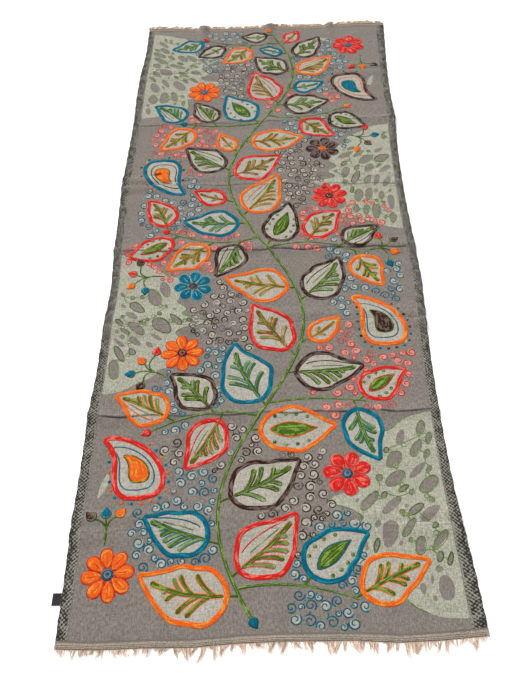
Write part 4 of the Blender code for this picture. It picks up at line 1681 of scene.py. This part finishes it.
def fringe(end, finishes):
    """Yarns frayed out of the heading, gathered loosely into locks that curl and lie on the floor."""
    name = "near" if end < 0 else "far"
    rng = random.Random(31 + end)
    lengths = LOCK_LENGTHS[name]
    pitch = WIDTH / LOCKS_PER_END
    points, faces = [], []
    for number in range(LOCKS_PER_END):
        centre = -HALF_WIDTH + (number + 0.5 + rng.uniform(-0.34, 0.34)) * pitch
        lock_length = lengths["middle"] + rng.uniform(-lengths["spread"], lengths["spread"])
        curly = end > 0 or centre < -0.16 or rng.random() < 0.25
        lock_length *= rng.uniform(0.50, 0.85) if curly else rng.uniform(0.75, 1.15)
        gather = rng.uniform(0.0, 0.5) if curly else rng.uniform(0.75, 1.1)
        if end > 0:
            lock_length, gather = 0.75 * lengths["middle"] + rng.uniform(-0.002, 0.003), rng.uniform(0.0, 0.3)
        lock_lean, lock_curl = rng.gauss(0.0, LOCK_LEAN), rng.gauss(0.0, CURLY_CURL if curly else POINTED_CURL)
        for _ in range(lengths["yarns"]):
            stray = rng.random() < (0.45 if curly else 0.10)
            root_u = centre + rng.uniform(-0.52, 0.52) * pitch
            root = yarn_root(root_u, end, rng.uniform(0.15, 0.85) * WALL)
            length = lock_length * rng.uniform(0.55, 1.0) + 0.0012
            lean = lock_lean + rng.gauss(0.0, 0.30 if stray else 0.08)
            curl_round = lock_curl + rng.gauss(0.0, 0.90 if stray else 0.22)
            drawn_in = (centre - root_u) * (0.2 if stray else gather)
            rest = 0.0005 + rng.uniform(0.0, 0.0016)
            path = yarn_path(root, end, length, lean, curl_round, drawn_in, rest, lengths["sink"])
            yarn(points, faces, path, lengths["thick"] * YARN_RADIUS * rng.uniform(0.75, 1.2))
    for _ in range(LOOSE_YARNS):
        root = yarn_root(rng.uniform(-HALF_WIDTH + 0.01, HALF_WIDTH - 0.01), end, 0.3 * WALL)
        hand = rng.choice((-1, 1))
        length = lengths["middle"] * rng.uniform(0.7, 1.25)
        lean, curl_round = hand * rng.uniform(0.3, 1.0), -hand * rng.uniform(1.2, 2.9)
        path = yarn_path(root, end, length, lean, curl_round, 0.0, 0.0012, 2.0)
        yarn(points, faces, path, 1.25 * YARN_RADIUS)
    if end < 0:
        faces = [face[::-1] for face in faces]
    piece = add_piece(f"fringe_{name}", points, faces, [finishes["fringe"]])
    return settle(piece, "fringe_yarn", f"heading_fringe_{name}")


def sewn_line(name, line, width, finish):
    """A fine line of sewing along a heading."""
    THREADS.pop("sewing", None)
    stroke("sewing", line, width, 0.00045)
    sewn = THREADS.pop("sewing")
    piece = add_piece(name, np.vstack(sewn["points"]), sewn["faces"], [finish], np.vstack(sewn["chart"]))
    return settle(piece, "fringe_yarn")


def heading_sewing(end, finishes):
    name = "near" if end < 0 else "far"
    u = np.linspace(-HALF_WIDTH + 0.002, HALF_WIDTH - 0.002, 240)
    made = []
    for number, (back, finish) in enumerate(((0.0012, "dark_cotton"), (0.0038, "beige_cotton"),
                                             (0.0066, "beige_cotton"), (0.0126, "beige_cotton"))):
        waver = 0.0002 * np.sin(60.0 * u + number)
        line = points_at(u, np.full_like(u, end * (HALF_LENGTH - back)) + waver)
        width = 0.0014 if finish == "dark_cotton" else 0.0009
        made.append(sewn_line(f"heading_{name}_sewing_{number + 1}", line, width, finishes[finish]))
    return made


# Side label

LABEL_LAYER = 0.00045


def label(finishes):
    """A blank tape folded over at its outer edge, its two layers a little apart."""
    low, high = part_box("side_label")
    layer = LABEL_LAYER
    inner, outer = high[0], low[0]
    radius = (high[2] - low[2]) / 2 - layer / 2
    middle = (high[2] + low[2]) / 2
    bpy.ops.object.select_all(action="DESELECT")
    bpy.ops.mesh.primitive_plane_add(size=1.0, location=(0.0, 0.0, 0.0))
    tape = bpy.context.object
    tape.name = tape.data.name = "label_tape"
    profile = [(inner, middle + radius)]
    bend_from = outer + radius + layer / 2
    for step in range(9):
        angle = math.pi / 2 + math.pi * step / 8
        profile.append((bend_from + radius * math.cos(angle), middle + radius * math.sin(angle)))
    profile.append((inner, middle - radius))
    bpy.ops.object.mode_set(mode="EDIT")
    bpy.ops.mesh.subdivide(number_cuts=len(profile) - 2)
    bpy.ops.object.mode_set(mode="OBJECT")
    steps = len(profile) - 1
    for vert in tape.data.vertices:
        place = round((vert.co.x + 0.5) * steps)
        x, z = profile[place]
        dip = 0.00018 * math.sin(5.0 * vert.co.y + 0.8) * math.cos(3.0 * vert.co.x)
        vert.co = (x, low[1] + (vert.co.y + 0.5) * (high[1] - low[1]), z + dip * (1 if place < steps / 2 else 0))
    thicken = tape.modifiers.new("thickness", "SOLIDIFY")
    thicken.thickness = layer
    thicken.offset = 0.0
    bpy.ops.object.modifier_apply(modifier=thicken.name)
    tape.data.materials.append(finishes["label"])
    bpy.ops.object.shade_smooth_by_angle(angle=math.radians(50.0))
    return settle(tape, "label_tape", "side_label")


# Stage

def floor():
    """A pale floor under the shawl."""
    bpy.ops.object.select_all(action="DESELECT")
    bpy.ops.mesh.primitive_plane_add(size=12.0, location=(0.0, 0.0, 0.0))
    plane = bpy.context.object
    plane.name = "floor"
    material = bpy.data.materials.new("pale_floor")
    material.use_nodes = True
    set_values(material.node_tree.nodes["Principled BSDF"], {
        "Base Color": (0.95, 0.95, 0.95, 1.0), "Roughness": 0.9, "Specular IOR Level": 0.1,
        "Emission Color": (1.0, 1.0, 1.0, 1.0), "Emission Strength": 0.30,
    })
    plane.data.materials.append(material)


WINDOW_FROM = (-0.55, 0.85, 0.72)
WINDOW_STRENGTH = 2.9
SKY_STRENGTH = 0.46
CEILING_POWER = 22.0


def lights():
    """A broad window from the far left, a weak ceiling light, and pale surroundings."""
    world = bpy.data.worlds.new("studio")
    world.use_nodes = True
    background = world.node_tree.nodes["Background"]
    set_values(background, {"Color": (1.0, 1.0, 1.0, 1.0), "Strength": SKY_STRENGTH})
    bpy.context.scene.world = world
    window = bpy.data.lights.new("window", "SUN")
    window.energy = WINDOW_STRENGTH
    window.angle = math.radians(22.0)
    added("window", window).rotation_euler = (-Vector(WINDOW_FROM)).to_track_quat("-Z", "Y").to_euler()
    ceiling = bpy.data.lights.new("ceiling", "AREA")
    ceiling.size = 3.2
    ceiling.energy = CEILING_POWER
    added("ceiling", ceiling).location = (0.4, -0.3, 3.4)


def camera():
    """The photo's camera: turned by its yaw, tilted down, then rolled."""
    yaw, tilt, roll = CAMERA_YAW, CAMERA_TILT, CAMERA_ROLL
    forward = Vector((-math.sin(yaw) * math.cos(tilt), math.cos(yaw) * math.cos(tilt), -math.sin(tilt)))
    level = Vector((math.cos(yaw), math.sin(yaw), 0.0))
    down = forward.cross(level)
    right = math.cos(roll) * level + math.sin(roll) * down
    turned_down = -math.sin(roll) * level + math.cos(roll) * down
    lens = bpy.data.cameras.new("camera")
    lens.lens = CAMERA_LENS
    lens.sensor_width = 36.0
    lens.clip_start = 0.02
    made = added("camera", lens)
    axes = Matrix((right, -turned_down, -forward)).transposed()
    made.matrix_world = Matrix.Translation(CAMERA_PLACE) @ axes.to_4x4()
    bpy.context.scene.camera = made


def shawl():
    finishes = make_finishes()
    lay_out_pattern()
    cloth = panel(finishes)
    for thread, kept in list(THREADS.items()):
        name = f"stitching_{thread}"
        chart = np.vstack(kept["chart"])
        piece = add_piece(name, np.vstack(kept["points"]), kept["faces"], [finishes[thread]], chart)
        settle(piece, "panel_cloth")
    THREADS.clear()
    borders = [border(-1, finishes), border(1, finishes)]
    label(finishes)
    for end in (-1, 1):
        strip_of_cloth = heading(end, finishes)
        loose = [fringe(end, finishes), *heading_sewing(end, finishes)]


camera()
lights()
floor()
shawl()

bpy.context.scene.view_settings.view_transform = "Standard"
